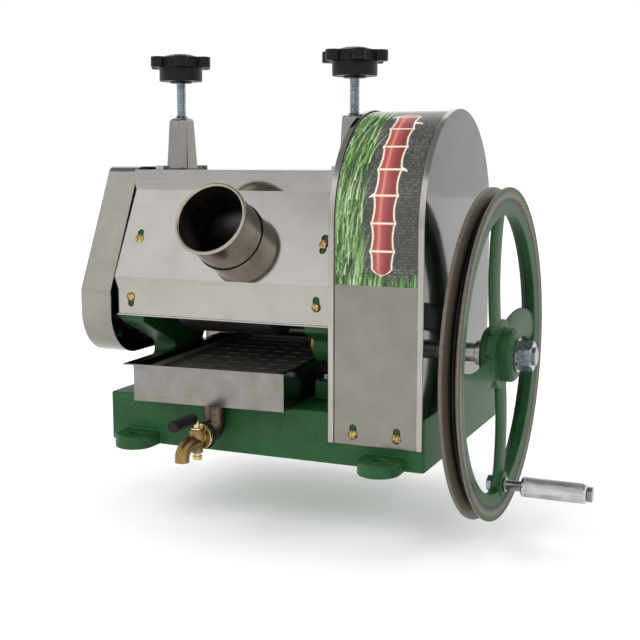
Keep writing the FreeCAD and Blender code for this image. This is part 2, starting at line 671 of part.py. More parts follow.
LEFT_HIGH, LEFT_LOW, RIGHT_HIGH, RIGHT_LOW = [place for place in PLATE_SCREWS if place[1] < 0]
FRONT_SLOTS = ((LEFT_HIGH, 1), (LEFT_LOW, -1), (RIGHT_LOW, 1), (RIGHT_HIGH, 1), (RIGHT_HIGH, -1))


# ---------------------------------------------------------------- caps, blocks, bushes
def make_cap(name, low, high, adjuster):
    bar = box(name + "_bar", (low, high), ("mill_y - cap_half", "mill_y + cap_half"),
              ("frame_top_z", "cap_top_z"))
    span = ("frame_top_z - 1", "cap_top_z + 1")
    tools = [rod(name + "_thread", "z", "screw_radius + running_clearance", *span, (adjuster, "mill_y"))]
    for end in (-1, 1):
        tools.append(rod(name + "_hole", "z", "cap_bolt_radius + seat_gap", *span,
                         (adjuster, "mill_y + %d * cap_bolt_y" % end)))
    return cut(name, bar, *tools)


def make_cap_bolts():
    bolts = []
    for x in ("left_adjuster_x", "right_adjuster_x"):
        for end in (-1, 1):
            bolts.append(bolt("cap_bolt", "z", "cap_bolt_radius", "cap_bolt_flats", "cap_bolt_head",
                              "cap_bolt_length", "cap_top_z", (x, "mill_y + %d * cap_bolt_y" % end)))
    return group("cap_bolts", *bolts)


def make_block(name, adjuster):
    half = "(block_width / 2)"
    body = box(name + "_body", ("%s - %s" % (adjuster, half), "%s + %s" % (adjuster, half)),
               ("mill_y - slot_half + seat_gap", "mill_y + slot_half - seat_gap"),
               (SLOT_FLOOR_Z, BLOCK_TOP_Z))
    bore = rod(name + "_bore", "x", "journal_radius + running_clearance", "%s - %s - 1" % (adjuster, half),
               "%s + %s + 1" % (adjuster, half), ("mill_y", "top_roller_z"))
    return cut(name, body, bore)


def bush(name, bore_radius, start, end, flange_start, flange_end, centre):
    """A flanged bronze bush."""
    sleeve = rod(name + "_sleeve", "x", "%s + bush_wall" % bore_radius, start, end, centre)
    flange = rod(name + "_flange", "x", "%s + 2 * bush_wall" % bore_radius, flange_start, flange_end,
                 centre)
    bore = rod(name + "_bore", "x", "%s + running_clearance" % bore_radius,
               "min(%s; %s) - 1" % (start, flange_start), "max(%s; %s) + 1" % (end, flange_end), centre)
    return cut(name, fuse(name + "_solid", sleeve, flange), bore)


def make_bushes():
    bushes = []
    for y in (FRONT_Y, REAR_Y):
        bushes.append(bush("left_bush", "journal_radius", "left_frame_x", LEFT_INNER, LEFT_INNER,
                           LEFT_INNER + " + bush_flange", (y, LOWER_Z)))
        bushes.append(bush("right_bush", "journal_radius", RIGHT_INNER, RIGHT_OUTER,
                           RIGHT_INNER + " - bush_flange", RIGHT_INNER, (y, LOWER_Z)))
    rollers = group("roller_bushes", *bushes)
    length = "((shaft_boss_end - right_frame_x) / 3)"
    centre = ("crank_y", CRANK_Z)
    inner = bush("inner_shaft_bush", "crank_radius", "right_frame_x", "right_frame_x + " + length,
                 "right_frame_x - bush_flange", "right_frame_x", centre)
    outer = bush("outer_shaft_bush", "crank_radius", "shaft_boss_end - " + length, "shaft_boss_end",
                 "shaft_boss_end", "shaft_boss_end + bush_flange", centre)
    return rollers, group("shaft_bushes", inner, outer)


# ---------------------------------------------------------------- gears
def tooth_points(module, teeth, backlash, phase):
    """Corners of an involute gear's outline, as (radius, angle) in radians."""
    pitch = module * teeth / 2
    pressure = math.radians(20)
    base = pitch * math.cos(pressure)
    root = pitch - 1.25 * module
    tip = pitch + module
    half = math.pi / (2 * teeth) - backlash / (2 * pitch) + math.tan(pressure) - pressure
    steps = [max(base, root) + (tip - max(base, root)) * step / 4 for step in range(5)]
    flank = [(root, half)] if root < base else []
    for radius in steps:
        angle = math.acos(min(1, base / radius))
        flank.append((radius, half - math.tan(angle) + angle))
    points = []
    for tooth in range(teeth):
        middle = phase + 2 * math.pi * tooth / teeth
        points += [(radius, middle - turn) for radius, turn in flank]
        points += [(radius, middle + turn) for radius, turn in reversed(flank)]
    return points


def gear_solid(module, teeth, backlash, phase, start, width, centre):
    """A spur gear along X."""
    corners = [Vector(start, centre[0] + radius * math.cos(angle), centre[1] + radius * math.sin(angle))
               for radius, angle in tooth_points(module, teeth, backlash, phase)]
    return Part.Face(Part.makePolygon(corners + corners[:1])).extrude(Vector(width, 0, 0))


def mesh_phase(teeth, other_teeth, centre, other_centre):
    """Phase of a gear that meshes with another whose first tooth points along +Y."""
    toward = math.atan2(centre[1] - other_centre[1], centre[0] - other_centre[0])
    return toward + math.pi + math.pi / teeth + toward * other_teeth / teeth


def bore_out(solid, radius, start, end, centre):
    """A solid with a round hole along X."""
    place = Vector(start, centre[0], centre[1])
    return solid.cut(Part.makeCylinder(radius, end - start, place, Vector(1, 0, 0)))


def make_roller_gears():
    module = value("roller_module")
    teeth = int(value("roller_teeth"))
    start = value("left_frame_x - gear_offset - roller_gear_width")
    width = value("roller_gear_width")
    top = (value("mill_y"), value("top_roller_z"))
    lower_z = value(LOWER_Z)
    gears = []
    for name, centre in (("top_roller_gear", top), ("front_roller_gear", (value(FRONT_Y), lower_z)),
                         ("rear_roller_gear", (value(REAR_Y), lower_z))):
        phase = 0 if centre == top else mesh_phase(teeth, teeth, centre, top)
        solid = gear_solid(module, teeth, value("gear_backlash"), phase, start, width, centre)
        gears.append(feature(name, bore_out(solid, value("seat_radius"), start, start + width, centre)))
    return gears


def make_drive_gear():
    module = value("drive_module")
    teeth = int(value("drive_teeth"))
    start = value("drive_gear_x")
    width = value("drive_gear_width")
    web = value("drive_web")
    centre = (value("mill_y"), value("top_roller_z"))
    solid = gear_solid(module, teeth, value("gear_backlash"), 0, start, width, centre)
    rim = module * teeth / 2 - 1.25 * module - value("drive_rim")
    axis = Vector(1, 0, 0)
    hub = value("drive_hub_radius")
    for face, depth in ((start, (width - web) / 2), (start + (width + web) / 2, (width - web) / 2)):
        place = Vector(face, centre[0], centre[1])
        ring = Part.makeCylinder(rim, depth, place, axis).cut(Part.makeCylinder(hub, depth, place, axis))
        solid = solid.cut(ring)
    middle = (rim + hub) / 2
    holes = int(value("drive_holes"))
    for index in range(holes):
        angle = 2 * math.pi * index / holes
        hole = (centre[0] + middle * math.cos(angle), centre[1] + middle * math.sin(angle))
        solid = bore_out(solid, value("drive_hole_radius"), start, start + width, hole)
    return feature("drive_gear", bore_out(solid, value("seat_radius"), start, start + width, centre))


def make_pinion():
    teeth = int(value("pinion_teeth"))
    wheel_teeth = int(value("drive_teeth"))
    centre = (value("crank_y"), value(CRANK_Z))
    other = (value("mill_y"), value("top_roller_z"))
    phase = mesh_phase(teeth, wheel_teeth, centre, other)
    start = value("drive_gear_x - (pinion_width - drive_gear_width) / 2")
    width = value("pinion_width")
    solid = gear_solid(value("drive_module"), teeth, value("gear_backlash"), phase, start, width, centre)
    solid = bore_out(solid, value("crank_radius"), start, start + width, centre)
    half = value("key_width") / 2
    top = value("crank_radius + key_height / 2 + seat_gap")
    keyway = Part.makeBox(width, 2 * half, top, Vector(start, centre[0] - half, centre[1]))
    return feature("pinion_gear", solid.cut(keyway))


# ---------------------------------------------------------------- shafts and rollers
def turned(name, steps, y, z):
    """A turned shaft from (start, end, radius) steps along X."""
    points = [(steps[0][0], "0")]
    for start, end, radius in steps:
        points += [(start, radius), (end, radius)]
    points.append((steps[-1][1], "0"))
    return put(lathe(name, "x", points), 0, y, z)


def barrel(name, left_stop, right_stop, tail, y, z):
    """A roller: gear seat, journals, shoulders, chamfered barrel and its tail steps."""
    start = "roller_start"
    end = "roller_start + roller_length"
    gear_end = "left_frame_x - gear_offset"
    points = [
        (gear_end + " - roller_gear_width - gear_offset", "0"),
        (gear_end + " - roller_gear_width - gear_offset", "seat_radius"),
        (gear_end, "seat_radius"),
        (gear_end, "journal_radius"),
        (left_stop, "journal_radius"),
        (left_stop, "shoulder_radius"),
        (start, "shoulder_radius"),
        (start, ROLLER_RADIUS + " - roller_chamfer"),
        (start + " + roller_chamfer", ROLLER_RADIUS),
        (end + " - roller_chamfer", ROLLER_RADIUS),
        (end, ROLLER_RADIUS + " - roller_chamfer"),
        (end, "shoulder_radius"),
        (right_stop, "shoulder_radius"),
        (right_stop, "journal_radius"),
    ] + tail
    return put(lathe(name, "x", points), 0, y, z)


def make_rollers():
    block = "(block_width / 2 + loose_gap)"
    tail = [
        (RIGHT_OUTER + " + gear_offset / 2", "journal_radius"),
        (RIGHT_OUTER + " + gear_offset / 2", "seat_radius + 1"),
        ("drive_gear_x", "seat_radius + 1"),
        ("drive_gear_x", "seat_radius"),
        ("drive_gear_x + drive_gear_width", "seat_radius"),
        ("drive_gear_x + drive_gear_width", "seat_radius - 2"),
        ("drive_gear_x + drive_gear_width + wheel_nut_height + 2", "seat_radius - 2"),
        ("drive_gear_x + drive_gear_width + wheel_nut_height + 2", "0"),
    ]
    top = barrel("top_roller", "left_adjuster_x + " + block, "right_adjuster_x - " + block, tail,
                 "mill_y", "top_roller_z")
    lower = []
    for name, y in (("front_roller", FRONT_Y), ("rear_roller", REAR_Y)):
        tail = [(RIGHT_OUTER + " + 1", "journal_radius"), (RIGHT_OUTER + " + 1", "0")]
        lower.append(barrel(name, LEFT_INNER + " + bush_flange + loose_gap",
                            RIGHT_INNER + " - bush_flange - loose_gap", tail, y, LOWER_Z))
    return [top] + lower


def make_drive_gear_nut():
    start = "drive_gear_x + drive_gear_width"
    centre = ("mill_y", "top_roller_z")
    nut = hexagon("drive_nut_body", "x", "wheel_nut_flats + 6", start, start + " + wheel_nut_height",
                  centre)
    return cut("drive_gear_nut", nut, rod("drive_nut_bore", "x", "seat_radius - 2", start + " - 1",
                                          start + " + wheel_nut_height + 1", centre))


def make_crank_parts():
    """Crank shaft with its key, collar, washer and nut."""
    centre = ("crank_y", CRANK_Z)
    thread_end = HUB_END + " + crank_thread_length"
    steps = [("crank_start", HUB_END + " - hub_chamfer", "crank_radius"),
             (HUB_END + " - hub_chamfer", thread_end, "crank_thread_radius")]
    shaft = turned("crank_shaft_bar", steps, *centre)
    gear_x = "drive_gear_x - (pinion_width - drive_gear_width) / 2"
    half = "key_width / 2"
    key_y = ("crank_y - %s" % half, "crank_y + %s" % half)
    key_z = ("%s + crank_radius - key_height / 2" % CRANK_Z,
             "%s + crank_radius + key_height / 2" % CRANK_Z)
    key_x = (gear_x, gear_x + " + pinion_width")
    slot = box("key_slot", key_x, key_y, (key_z[0], CRANK_Z + " + crank_radius + 1"))
    crank_shaft = cut("crank_shaft", shaft, slot)
    key = box("pinion_key", key_x, key_y, key_z)
    start = "wheel_x - hub_in - collar_width"
    collar = cut("shaft_collar", rod("collar_body", "x", "collar_radius", start, "wheel_x - hub_in", centre),
                 rod("collar_bore", "x", "crank_radius", start + " - 1", "wheel_x - hub_in + 1", centre))
    bore = rod("washer_bore", "x", "crank_thread_radius", HUB_END + " - 1", HUB_END + " + 2", centre)
    washer = cut("hub_washer", rod("washer_body", "x", "washer_radius", HUB_END,
                                   HUB_END + " + washer_thickness", centre), bore)
    nut_x = HUB_END + " + washer_thickness"
    nut_end = nut_x + " + wheel_nut_height"
    nut = cut("hub_nut", hexagon("hub_nut_body", "x", "wheel_nut_flats", nut_x, nut_end, centre),
              rod("hub_nut_bore", "x", "crank_thread_radius", nut_x + " - 1", nut_end + " + 1", centre))
    return crank_shaft, key, collar, washer, nut


# ---------------------------------------------------------------- crank wheel and handle
def spoke_shape():
    """A bowed spoke of oval section, its centre line on an arc through the wheel's axis."""
    middle = (value("spoke_bow_at"), value("spoke_bow"))
    end = (value("spoke_end_at"), value("spoke_end"))
    square = [point[0] ** 2 + point[1] ** 2 for point in (middle, end)]
    below = 2 * (middle[0] * end[1] - middle[1] * end[0])
    centre = ((square[0] * end[1] - square[1] * middle[1]) / below,
              (square[1] * middle[0] - square[0] * end[0]) / below)
    radius = math.hypot(*centre)
    start_angle = math.atan2(-centre[1], -centre[0]) - value("hub_radius") / (2 * radius)
    end_angle = math.atan2(end[1] - centre[1], end[0] - centre[0])
    section = Part.Ellipse(Vector(0, 0, 0), value("spoke_width") / 2, value("spoke_thickness") / 2).toShape()
    face = Part.Face(Part.Wire([section]))
    axis_x = value("wheel_x + wheel_width - ring_inset / 2 - ring_width / 2") - 1
    outward = Vector(0, math.cos(start_angle), math.sin(start_angle))
    face.Placement = Placement(Vector(axis_x, centre[0] + radius * outward.y, centre[1] + radius * outward.z),
                               Rotation(outward, Vector(1, 0, 0), Vector(), "XYZ"))
    return face.revolve(Vector(axis_x, centre[0], centre[1]), Vector(-1, 0, 0),
                        math.degrees(start_angle - end_angle))


def make_wheel():
    """The crank wheel: rim with a belt groove, bowed spokes, hub and the handle's boss."""
    x = "wheel_x"
    outer = "wheel_x + wheel_width"
    face = outer + " - ring_inset / 2"
    groove = "groove_floor"
    middle = "(wheel_x + wheel_width / 2)"
    ring = lathe("wheel_ring", "x", [
        (x, "wheel_radius"),
        (x + " + groove_lip", "wheel_radius"),
        ("%s - %s / 2" % (middle, groove), "wheel_radius - groove_depth"),
        ("%s + %s / 2" % (middle, groove), "wheel_radius - groove_depth"),
        (outer + " - groove_lip", "wheel_radius"),
        (outer, "wheel_radius"),
        (face, "ring_radius"),
        (face + " - ring_width", "ring_radius"),
        (x, "wheel_radius - groove_depth - groove_lip"),
    ])
    hub = lathe("wheel_hub", "x", [
        (x + " - hub_in", "0"),
        (x + " - hub_in", "hub_radius - hub_chamfer"),
        (x + " - hub_in + hub_chamfer", "hub_radius"),
        (face + " - ring_width", "hub_radius"),
        (face + " - ring_width", "hub_disc_radius"),
        (face, "hub_disc_radius"),
        (face, "hub_radius"),
        (HUB_END + " - hub_chamfer", "hub_radius"),
        (HUB_END, "hub_radius - hub_chamfer"),
        (HUB_END, "0"),
    ])
    for turned_body in (ring, hub):
        turned_body.Placement = Placement(Vector(), Rotation(Vector(1, 0, 0), 45))
    spokes = []
    for turn in (0, 90, 180, 270):
        arm = feature("wheel_spoke", spoke_shape())
        arm.Placement = Placement(Vector(), Rotation(Vector(1, 0, 0), turn))
        spokes.append(arm)
    boss = rod("handle_boss", "x", "pad_radius", face + " - ring_width", face + " + boss_rise", HANDLE_LOCAL)
    solid = fuse("wheel_solid", fuse("wheel_ribs", ring, fuse("wheel_star", hub, *spokes)), boss)
    bore = rod("wheel_bore", "x", "crank_radius", x + " - hub_in - 1", HUB_END + " + 1", ("0", "0"))
    hole = rod("handle_hole", "x", "spindle_radius + running_clearance", face + " - ring_width - 1",
               face + " + boss_rise + 1", HANDLE_LOCAL)
    seat = rod("nut_seat", "x", "spindle_nut_flats / sqrt(3) + loose_gap", x + " - 1", face + " - ring_width",
               HANDLE_LOCAL)
    wheel = cut("crank_wheel", solid, bore, hole, seat)
    return put(wheel, 0, "crank_y", CRANK_Z)


HANDLE_LOCAL = ("handle_radius * cos(handle_lead - 90)", "handle_radius * sin(handle_lead - 90)")
HANDLE = ("crank_y + " + HANDLE_LOCAL[0], CRANK_Z + " + " + HANDLE_LOCAL[1])


def make_handle():
    back = "wheel_x + wheel_width - ring_inset / 2 - ring_width"
    face = back + " + ring_width + boss_rise"
    grip_x = face + " + spindle_stub"
    head_x = grip_x + " + grip_length + 2 * loose_gap"
    spindle = turned("handle_spindle", [
        (back + " - spindle_nut_height - 1", face, "spindle_radius"),
        (face, face + " + 2", "spindle_radius + 2"),
        (face + " + 2", head_x, "spindle_radius"),
        (head_x, head_x + " + grip_cap_length", "grip_cap_radius"),
    ], *HANDLE)
    nut_start = back + " - spindle_nut_height"
    nut = cut("handle_nut", hexagon("handle_nut_body", "x", "spindle_nut_flats", nut_start, back, HANDLE),
              rod("handle_nut_bore", "x", "spindle_radius", nut_start + " - 1", back + " + 1", HANDLE))
    grip_from = grip_x + " + loose_gap"
    grip = cut("handle_grip", turned("grip_body", [(grip_from, grip_from + " + grip_length", "grip_radius")],
                                     *HANDLE),
               rod("grip_bore", "x", "spindle_radius + running_clearance", grip_from + " - 1",
                   grip_from + " + grip_length + 1", HANDLE))
    return spindle, nut, grip


# ---------------------------------------------------------------- sheet metal
def offset_path(path, distance):
    """A path moved to its left, with mitred corners."""
    normals = []
    for (a, b), (c, d) in zip(path, path[1:]):
        length = math.hypot(c - a, d - b)
        normals.append(((b - d) / length, (c - a) / length))
    normals = normals[:1] + normals + normals[-1:]
    moved = []
    for (a, b), (p, q), (r, s) in zip(path, normals, normals[1:]):
        scale = distance / (1 + p * r + q * s)
        moved.append((a + scale * (p + r), b + scale * (q + s)))
    return moved


def folded(name, points, thickness, start, end, lengthways=False):
    """A sheet of one section along X, or lengthways along Y; its points lie on the right-hand face."""
    path = [(value(a), value(b)) for a, b in points]
    path += offset_path(path, value(thickness))[::-1]
    first = value(start)
    run = value(end) - first
    corners = [Vector(a, first, b) if lengthways else Vector(first, a, b) for a, b in path]
    face = Part.Face(Part.makePolygon(corners + corners[:1]))
    return feature(name, face.extrude(Vector(0, run, 0) if lengthways else Vector(run, 0, 0)))


def mill_plate(name, side, holes):
    """The front (-1) or rear (1) plate: a fold up the sloped face, with a hem along its foot."""
    rows = [("frame_lip_half + hem", "front_bottom_z"), ("frame_lip_half", "front_bottom_z"),
            ("frame_lip_half", "frame_lip_top_z"), ("frame_top_half", "frame_bend_z"),
            ("frame_top_half", "cap_top_z")]
    points = [("mill_y + %d * (%s)" % (side, offset), z) for offset, z in rows]
    if side > 0:
        points.reverse()
    bare = folded(name + "_sheet", points, "sheet", "sheet_left", "sheet_right")
    for place in PLATE_SCREWS:
        if place[1] == side:
            holes.append(outward_rod(name + "_screw_hole", "sheet_screw_radius + seat_gap",
                                     "4 * sheet", place, "sheet"))
    return cut(name, bare, *holes)


def slot_hole(place, way):
    """A round-ended slot through a plate from a screw's hole, up (1) or down (-1) its face."""
    x, side, offset, z, angle = place
    run = "(slot_reach - slot_width / 2)"
    rise = "%d * %s * cos(%s)" % (way, run, angle)
    lean = "%d * %s * sin(%s)" % (way, run, angle)
    tip = (x, side, "%s - %s" % (offset, lean), "%s + %s" % (z, rise), angle)
    low = place if way > 0 else tip
    body = doc.addObject("Part::Box", "slot_body")
    bind(body, Length="slot_width", Width=run, Height="4 * sheet")
    stand_out(body, (x + " - slot_width / 2",) + low[1:], "sheet")
    return fuse("screw_slot", body, outward_rod("slot_end", "slot_width / 2", "4 * sheet", tip, "sheet"))


def make_mill_plates():
    holes = [outward_rod("feed_hole", "tube_radius + tube_gap", "6 * sheet", TUBE_PLACE, "2 * sheet")]
    for place, way in FRONT_SLOTS:
        holes.append(slot_hole(place, way))
    front = mill_plate("front_plate", -1, holes)
    outlet = box("outlet", ("tube_x - outlet_half", "tube_x + outlet_half"),
                 ("mill_y", "mill_y + frame_lip_half + hem"), ("outlet_low_z", "outlet_high_z"))
    rear = mill_plate("rear_plate", 1, [outlet])
    edge = "frame_top_half + sheet"
    lid = box("top_sheet", ("sheet_left", "sheet_right"), ("mill_y - (%s)" % edge, "mill_y + " + edge),
              ("cap_top_z", "cap_top_z + sheet"))
    below = "cap_top_z - 1"
    above = "cap_top_z + sheet + 1"
    openings = []
    for x in ("left_adjuster_x", "right_adjuster_x"):
        half = "(sleeve_foot_x / 2 + loose_gap)"
        depth = "(sleeve_foot_y / 2 + loose_gap)"
        openings.append(box("sleeve_opening", ("%s - %s" % (x, half), "%s + %s" % (x, half)),
                            ("mill_y - " + depth, "mill_y + " + depth), (below, above)))
        for end in (-1, 1):
            y = "mill_y + %d * cap_bolt_y" % end
            openings.append(box("bolt_notch", (x + " - notch_x / 2", x + " + notch_x / 2"),
                                (y + " - notch_y / 2", y + " + notch_y / 2"), (below, above)))
    return front, cut("top_plate", lid, *openings), rear


TUBE_PLACE = ("tube_x", -1, plate_face("tube_root_z"), "tube_root_z", SLOPE)


def make_feed_tube():
    length = "(tube_depth + sheet + tube_reach)"
    wall = doc.addObject("Part::Cylinder", "tube_body")
    bind(wall, Radius="tube_radius", Height=length)
    bead = doc.addObject("Part::Torus", "tube_bead")
    bind(bead, Radius1="tube_radius + bead_radius / 2", Radius2="bead_radius")
    put(bead, 0, 0, length + " - bead_radius")
    bore = doc.addObject("Part::Cylinder", "tube_bore")
    bind(bore, Radius="tube_radius - tube_wall", Height=length + " + 2")
    put(bore, 0, 0, -1)
    flange = doc.addObject("Part::Cylinder", "tube_rim")
    bind(flange, Radius="tube_radius + tube_flange", Height="tube_wall")
    put(flange, 0, 0, "tube_depth - tube_wall")
    tube = cut("feed_tube", fuse("tube_solid", wall, bead, flange), bore)
    return stand_out(tube, TUBE_PLACE, "tube_depth")


def make_chute():
    """The discharge chute: a trough sloping down and back from the outlet, with a flange below it."""
    half = value("outlet_half - loose_gap")
    side = value("chute_side")
    x = value("tube_x")
    floor = value("outlet_low_z + hem + loose_gap")
    start = value("mill_y + %s - cap_bolt_radius" % plate_face("outlet_low_z"))
    path = [(x + half, floor + side), (x + half, floor), (x - half, floor), (x - half, floor + side)]
    path += offset_path(path, -value("cover_sheet"))[::-1]
    corners = [Vector(a, start, b) for a, b in path]
    trough = Part.Face(Part.makePolygon(corners + corners[:1]))
    body = feature("chute_trough", trough.extrude(Vector(0, value("chute_length"), -value("chute_drop"))))
    rim = doc.addObject("Part::Box", "chute_flange")
    bind(rim, Length="2 * outlet_half", Width="foot_bolt_inset", Height="cover_sheet")
    place = ("tube_x - outlet_half", 1, plate_face("outlet_low_z"), "outlet_low_z", SLOPE)
    return fuse("discharge_chute", body, stand_out(rim, place, "-sheet"))


# ---------------------------------------------------------------- left gear cover
def make_left_cover():
    """A pan over the roller gears, open towards the mill."""
    rows = [("left_cover_half", "left_cover_bottom_z"), ("left_cover_half", "left_cover_bend_z"),
            ("left_cover_top_half", "left_cover_top_z")]
    pan = slab("cover_pan", "YZ_Plane", mirrored(rows), "left_cover_depth")
    low = value("left_cover_bottom_z")
    high = value("left_cover_top_z")

    def at_height(height):
        return lambda edge: (abs(edge.tangentAt(edge.FirstParameter).x) > 0.999
                             and abs(edge.Vertexes[0].Z - height) < 0.01)

    round_edges(pan, "left_cover_corner", at_height(low))
    round_edges(pan, "left_cover_fold", at_height(high))
    doc.recompute()
    rounded = pan.Tip
    names = ["Face%d" % (index + 1) for index, face in enumerate(rounded.Shape.Faces)
             if face.BoundBox.XMin > value("left_cover_depth") - 0.01]
    shell = pan.newObject("PartDesign::Thickness", "cover_shell")
    shell.Base = (rounded, names)
    bind(shell, Value="cover_sheet")
    shell.Reversed = True
    pan.Tip = shell
    put(pan, "sheet_left - left_cover_depth")
    holes = [rod("cover_hole", "x", "sheet_screw_radius + seat_gap", "sheet_left - left_cover_depth - 1",
                 "sheet_left - left_cover_depth + 2 * cover_sheet", place) for place in STUD_PLACES]
    return cut("left_gear_cover", pan, *holes)


def make_cover_studs():
    studs = []
    inner = "sheet_left - left_cover_depth + cover_sheet"
    for place in STUD_PLACES:
        stud = fuse("stud_solid", rod("stud_body", "x", "stud_radius", inner, "left_frame_x", place),
                    rod("stud_spigot", "x", "stud_radius / 2", "left_frame_x",
                        "left_frame_x + frame_thickness / 2 - 1", place))
        studs.append(cut("cover_stud", stud, rod("stud_thread", "x", "sheet_screw_radius + seat_gap",
                                                 inner + " - 1", inner + " + sheet_screw_length", place)))
    return group("cover_studs", *studs)


# ---------------------------------------------------------------- arched gear cover
def arch_face(radius, front_z, rear_z, x):
    """The region under the arch's outline."""
    y = value(ARCH_Y)
    z = value("arch_z")
    front = Vector(x, y - radius, z)
    rear = Vector(x, y + radius, z)
    low_front = Vector(x, y - radius, front_z)
    low_rear = Vector(x, y + radius, rear_z)
    step = Vector(x, -value("base_depth") / 2, rear_z)
    low_step = Vector(x, -value("base_depth") / 2, front_z)
    arc = Part.Arc(front, Vector(x, y, z + radius), rear).toShape()
    rest = Part.makePolygon([rear, low_rear, step, low_step, low_front, front]).Edges
    return Part.Face(Part.Wire([arc] + rest))


def arch_ring(outer, inner, front_z, rear_z, x, width):
    """The outline's skin between two radii."""
    y = value(ARCH_Y)
    solid = arch_face(outer, front_z, rear_z, x).extrude(Vector(width, 0, 0))
    core = Part.makeBox(width, 2 * inner, value("arch_z") - front_z + 1, Vector(x, y - inner, front_z - 1))
    crown = Part.makeCylinder(inner, width, Vector(x, y, value("arch_z")), Vector(1, 0, 0))
    return solid.cut(core.fuse(crown))


def arch_plate(name, x, inward, holes):
    """A side plate of the arched cover: sheet and rim."""
    sheet_size = value("cover_sheet")
    front_z = value("arch_front_z")
    rear_z = value("base_height")
    radius = value("arch_radius")
    left = x if inward > 0 else x - sheet_size
    solid = arch_face(radius, front_z, rear_z, left).extrude(Vector(sheet_size, 0, 0))
    width = value("arch_flange")
    rim_left = x if inward > 0 else x - width
    solid = solid.fuse(arch_ring(radius, radius - sheet_size, front_z, rear_z, rim_left, width))
    return cut(name, feature(name + "_sheet", solid), *holes)


def make_arch():
    low = "arch_x - 1"
    high = "arch_x + 2 * cover_sheet"
    centre = ("crank_y", CRANK_Z)
    holes = [rod("boss_hole", "x", "shaft_boss_radius + loose_gap", low, high, centre),
             rod("roller_hole", "x", "journal_radius + 2 * loose_gap", low, high, ("mill_y", "top_roller_z"))]
    for place in SPACER_PLACES:
        holes.append(rod("spacer_hole", "x", "sheet_screw_radius + seat_gap", low, high, place))
    inner = arch_plate("arch_inner_plate", value("arch_x"), 1, holes)
    hole = rod("shaft_hole", "x", "crank_radius + 2", ARCH_RIGHT + " - 2 * cover_sheet", ARCH_RIGHT + " + 1",
               centre)
    outer = arch_plate("arch_outer_plate", value(ARCH_RIGHT), -1, [hole])
    x = value("arch_x + cover_sheet + seat_gap")
    width = value("arch_width - 2 * cover_sheet - 2 * seat_gap")
    radius = value(WRAP_RADIUS)
    skin = feature("band_skin", arch_ring(radius, radius - value("cover_sheet"), value("arch_front_z"),
                                          value("base_height"), x, width))
    foot = box("band_foot", ("arch_x + arch_flange + 1", ARCH_RIGHT + " - arch_flange - 1"),
               (ARCH_FOOT_Y + " - arch_foot / 2 - cover_sheet", ARCH_FOOT_Y + " + arch_foot / 2"),
               ("base_height", "base_height + cover_sheet"))
    drills = []
    depth = ("-base_depth / 2 - 5", "-base_depth / 2 + 1")
    for x in ARCH_SCREW_ROWS:
        drills.append(rod("band_hole", "y", "sheet_screw_radius + seat_gap", *depth, (x, "arch_screw_z")))
        slot_end = "arch_screw_z + slot_reach - slot_width / 2"
        drills.append(box("band_slot", (x + " - slot_width / 2", x + " + slot_width / 2"), depth,
                          ("arch_screw_z", slot_end)))
        drills.append(rod("band_slot_end", "y", "slot_width / 2", *depth, (x, slot_end)))
        drills.append(rod("foot_hole", "z", "sheet_screw_radius + seat_gap", "base_height - 1",
                          "base_height + 5", (x, ARCH_FOOT_Y)))
    return inner, outer, cut("arch_band", fuse("band_solid", skin, foot), *drills)


ARCH_SCREW_ROWS = ("arch_x + arch_screw_inset", ARCH_RIGHT + " - arch_screw_inset")


# ---------------------------------------------------------------- screws
def screw_shape(radius, length, head_radius, head_height):
    """A pan-head screw standing on its seat, with a cross recess."""
    bulge = (head_radius ** 2 + head_height ** 2) / (2 * head_height)
    head = Part.makeSphere(bulge, Vector(0, 0, head_height - bulge))
    head = head.common(Part.makeCylinder(head_radius, head_height))
    solid = head.fuse(Part.makeCylinder(radius, length, Vector(0, 0, -length)))
    for turn in (0, 90):
        recess = Part.makeBox(head_radius * 1.1, head_radius * 0.25, head_height,
                              Vector(-head_radius * 0.55, -head_radius * 0.125, head_height * 0.45))
        recess.rotate(Vector(), Vector(0, 0, 1), turn)
        solid = solid.cut(recess)
    return solid


def screw_places():
    """Seat and outward direction of every sheet screw."""
    places = []
    lift = value("sheet")
    for x, side, offset, z, angle in PLATE_SCREWS:
        turn = math.radians(value(angle))
        out = Vector(0, side * math.cos(turn), math.sin(turn))
        seat = Vector(value(x), value("mill_y") + side * value(offset), value(z))
        places.append((seat + out * lift, out))
    for y, z in STUD_PLACES:
        places.append((Vector(value("sheet_left - left_cover_depth"), value(y), value(z)), Vector(-1, 0, 0)))
    for y, z in SPACER_PLACES:
        places.append((Vector(value("arch_x + cover_sheet"), value(y), value(z)), Vector(1, 0, 0)))
    for x in ARCH_SCREW_ROWS:
        places.append((Vector(value(x), value("-base_depth / 2 - cover_sheet"), value("arch_screw_z")),
                       Vector(0, -1, 0)))
        places.append((Vector(value(x), value(ARCH_FOOT_Y), value("base_height + cover_sheet")),
                       Vector(0, 0, 1)))
    return places


def make_screws():
    shape = screw_shape(value("sheet_screw_radius"), value("sheet_screw_length"), value("sheet_screw_head"),
                        value("sheet_screw_head_height"))
    copies = []
    for seat, out in screw_places():
        copy = shape.copy()
        copy.Placement = Placement(seat, Rotation(Vector(0, 0, 1), out))
        copies.append(copy)
    return feature("sheet_screws", Part.makeCompound(copies))


# ---------------------------------------------------------------- ties and return plate
def make_ties():
    rods = []
    nuts = []
    ends = (("left_frame_x - tie_nut_height", "left_frame_x"),
            (RIGHT_OUTER, RIGHT_OUTER + " + tie_nut_height"))
    for place in TIE_PLACES:
        rods.append(rod("tie_rod", "x", "tie_radius", ends[0][0], ends[1][1], place))
        for start, end in ends:
            nut = hexagon("tie_nut_body", "x", "tie_nut_flats", start, end, place)
            bore = rod("tie_nut_bore", "x", "tie_radius", start + " - 1", end + " + 1", place)
            nuts.append(cut("tie_nut", nut, bore))
    return group("tie_rods", *rods), group("tie_rod_nuts", *nuts)


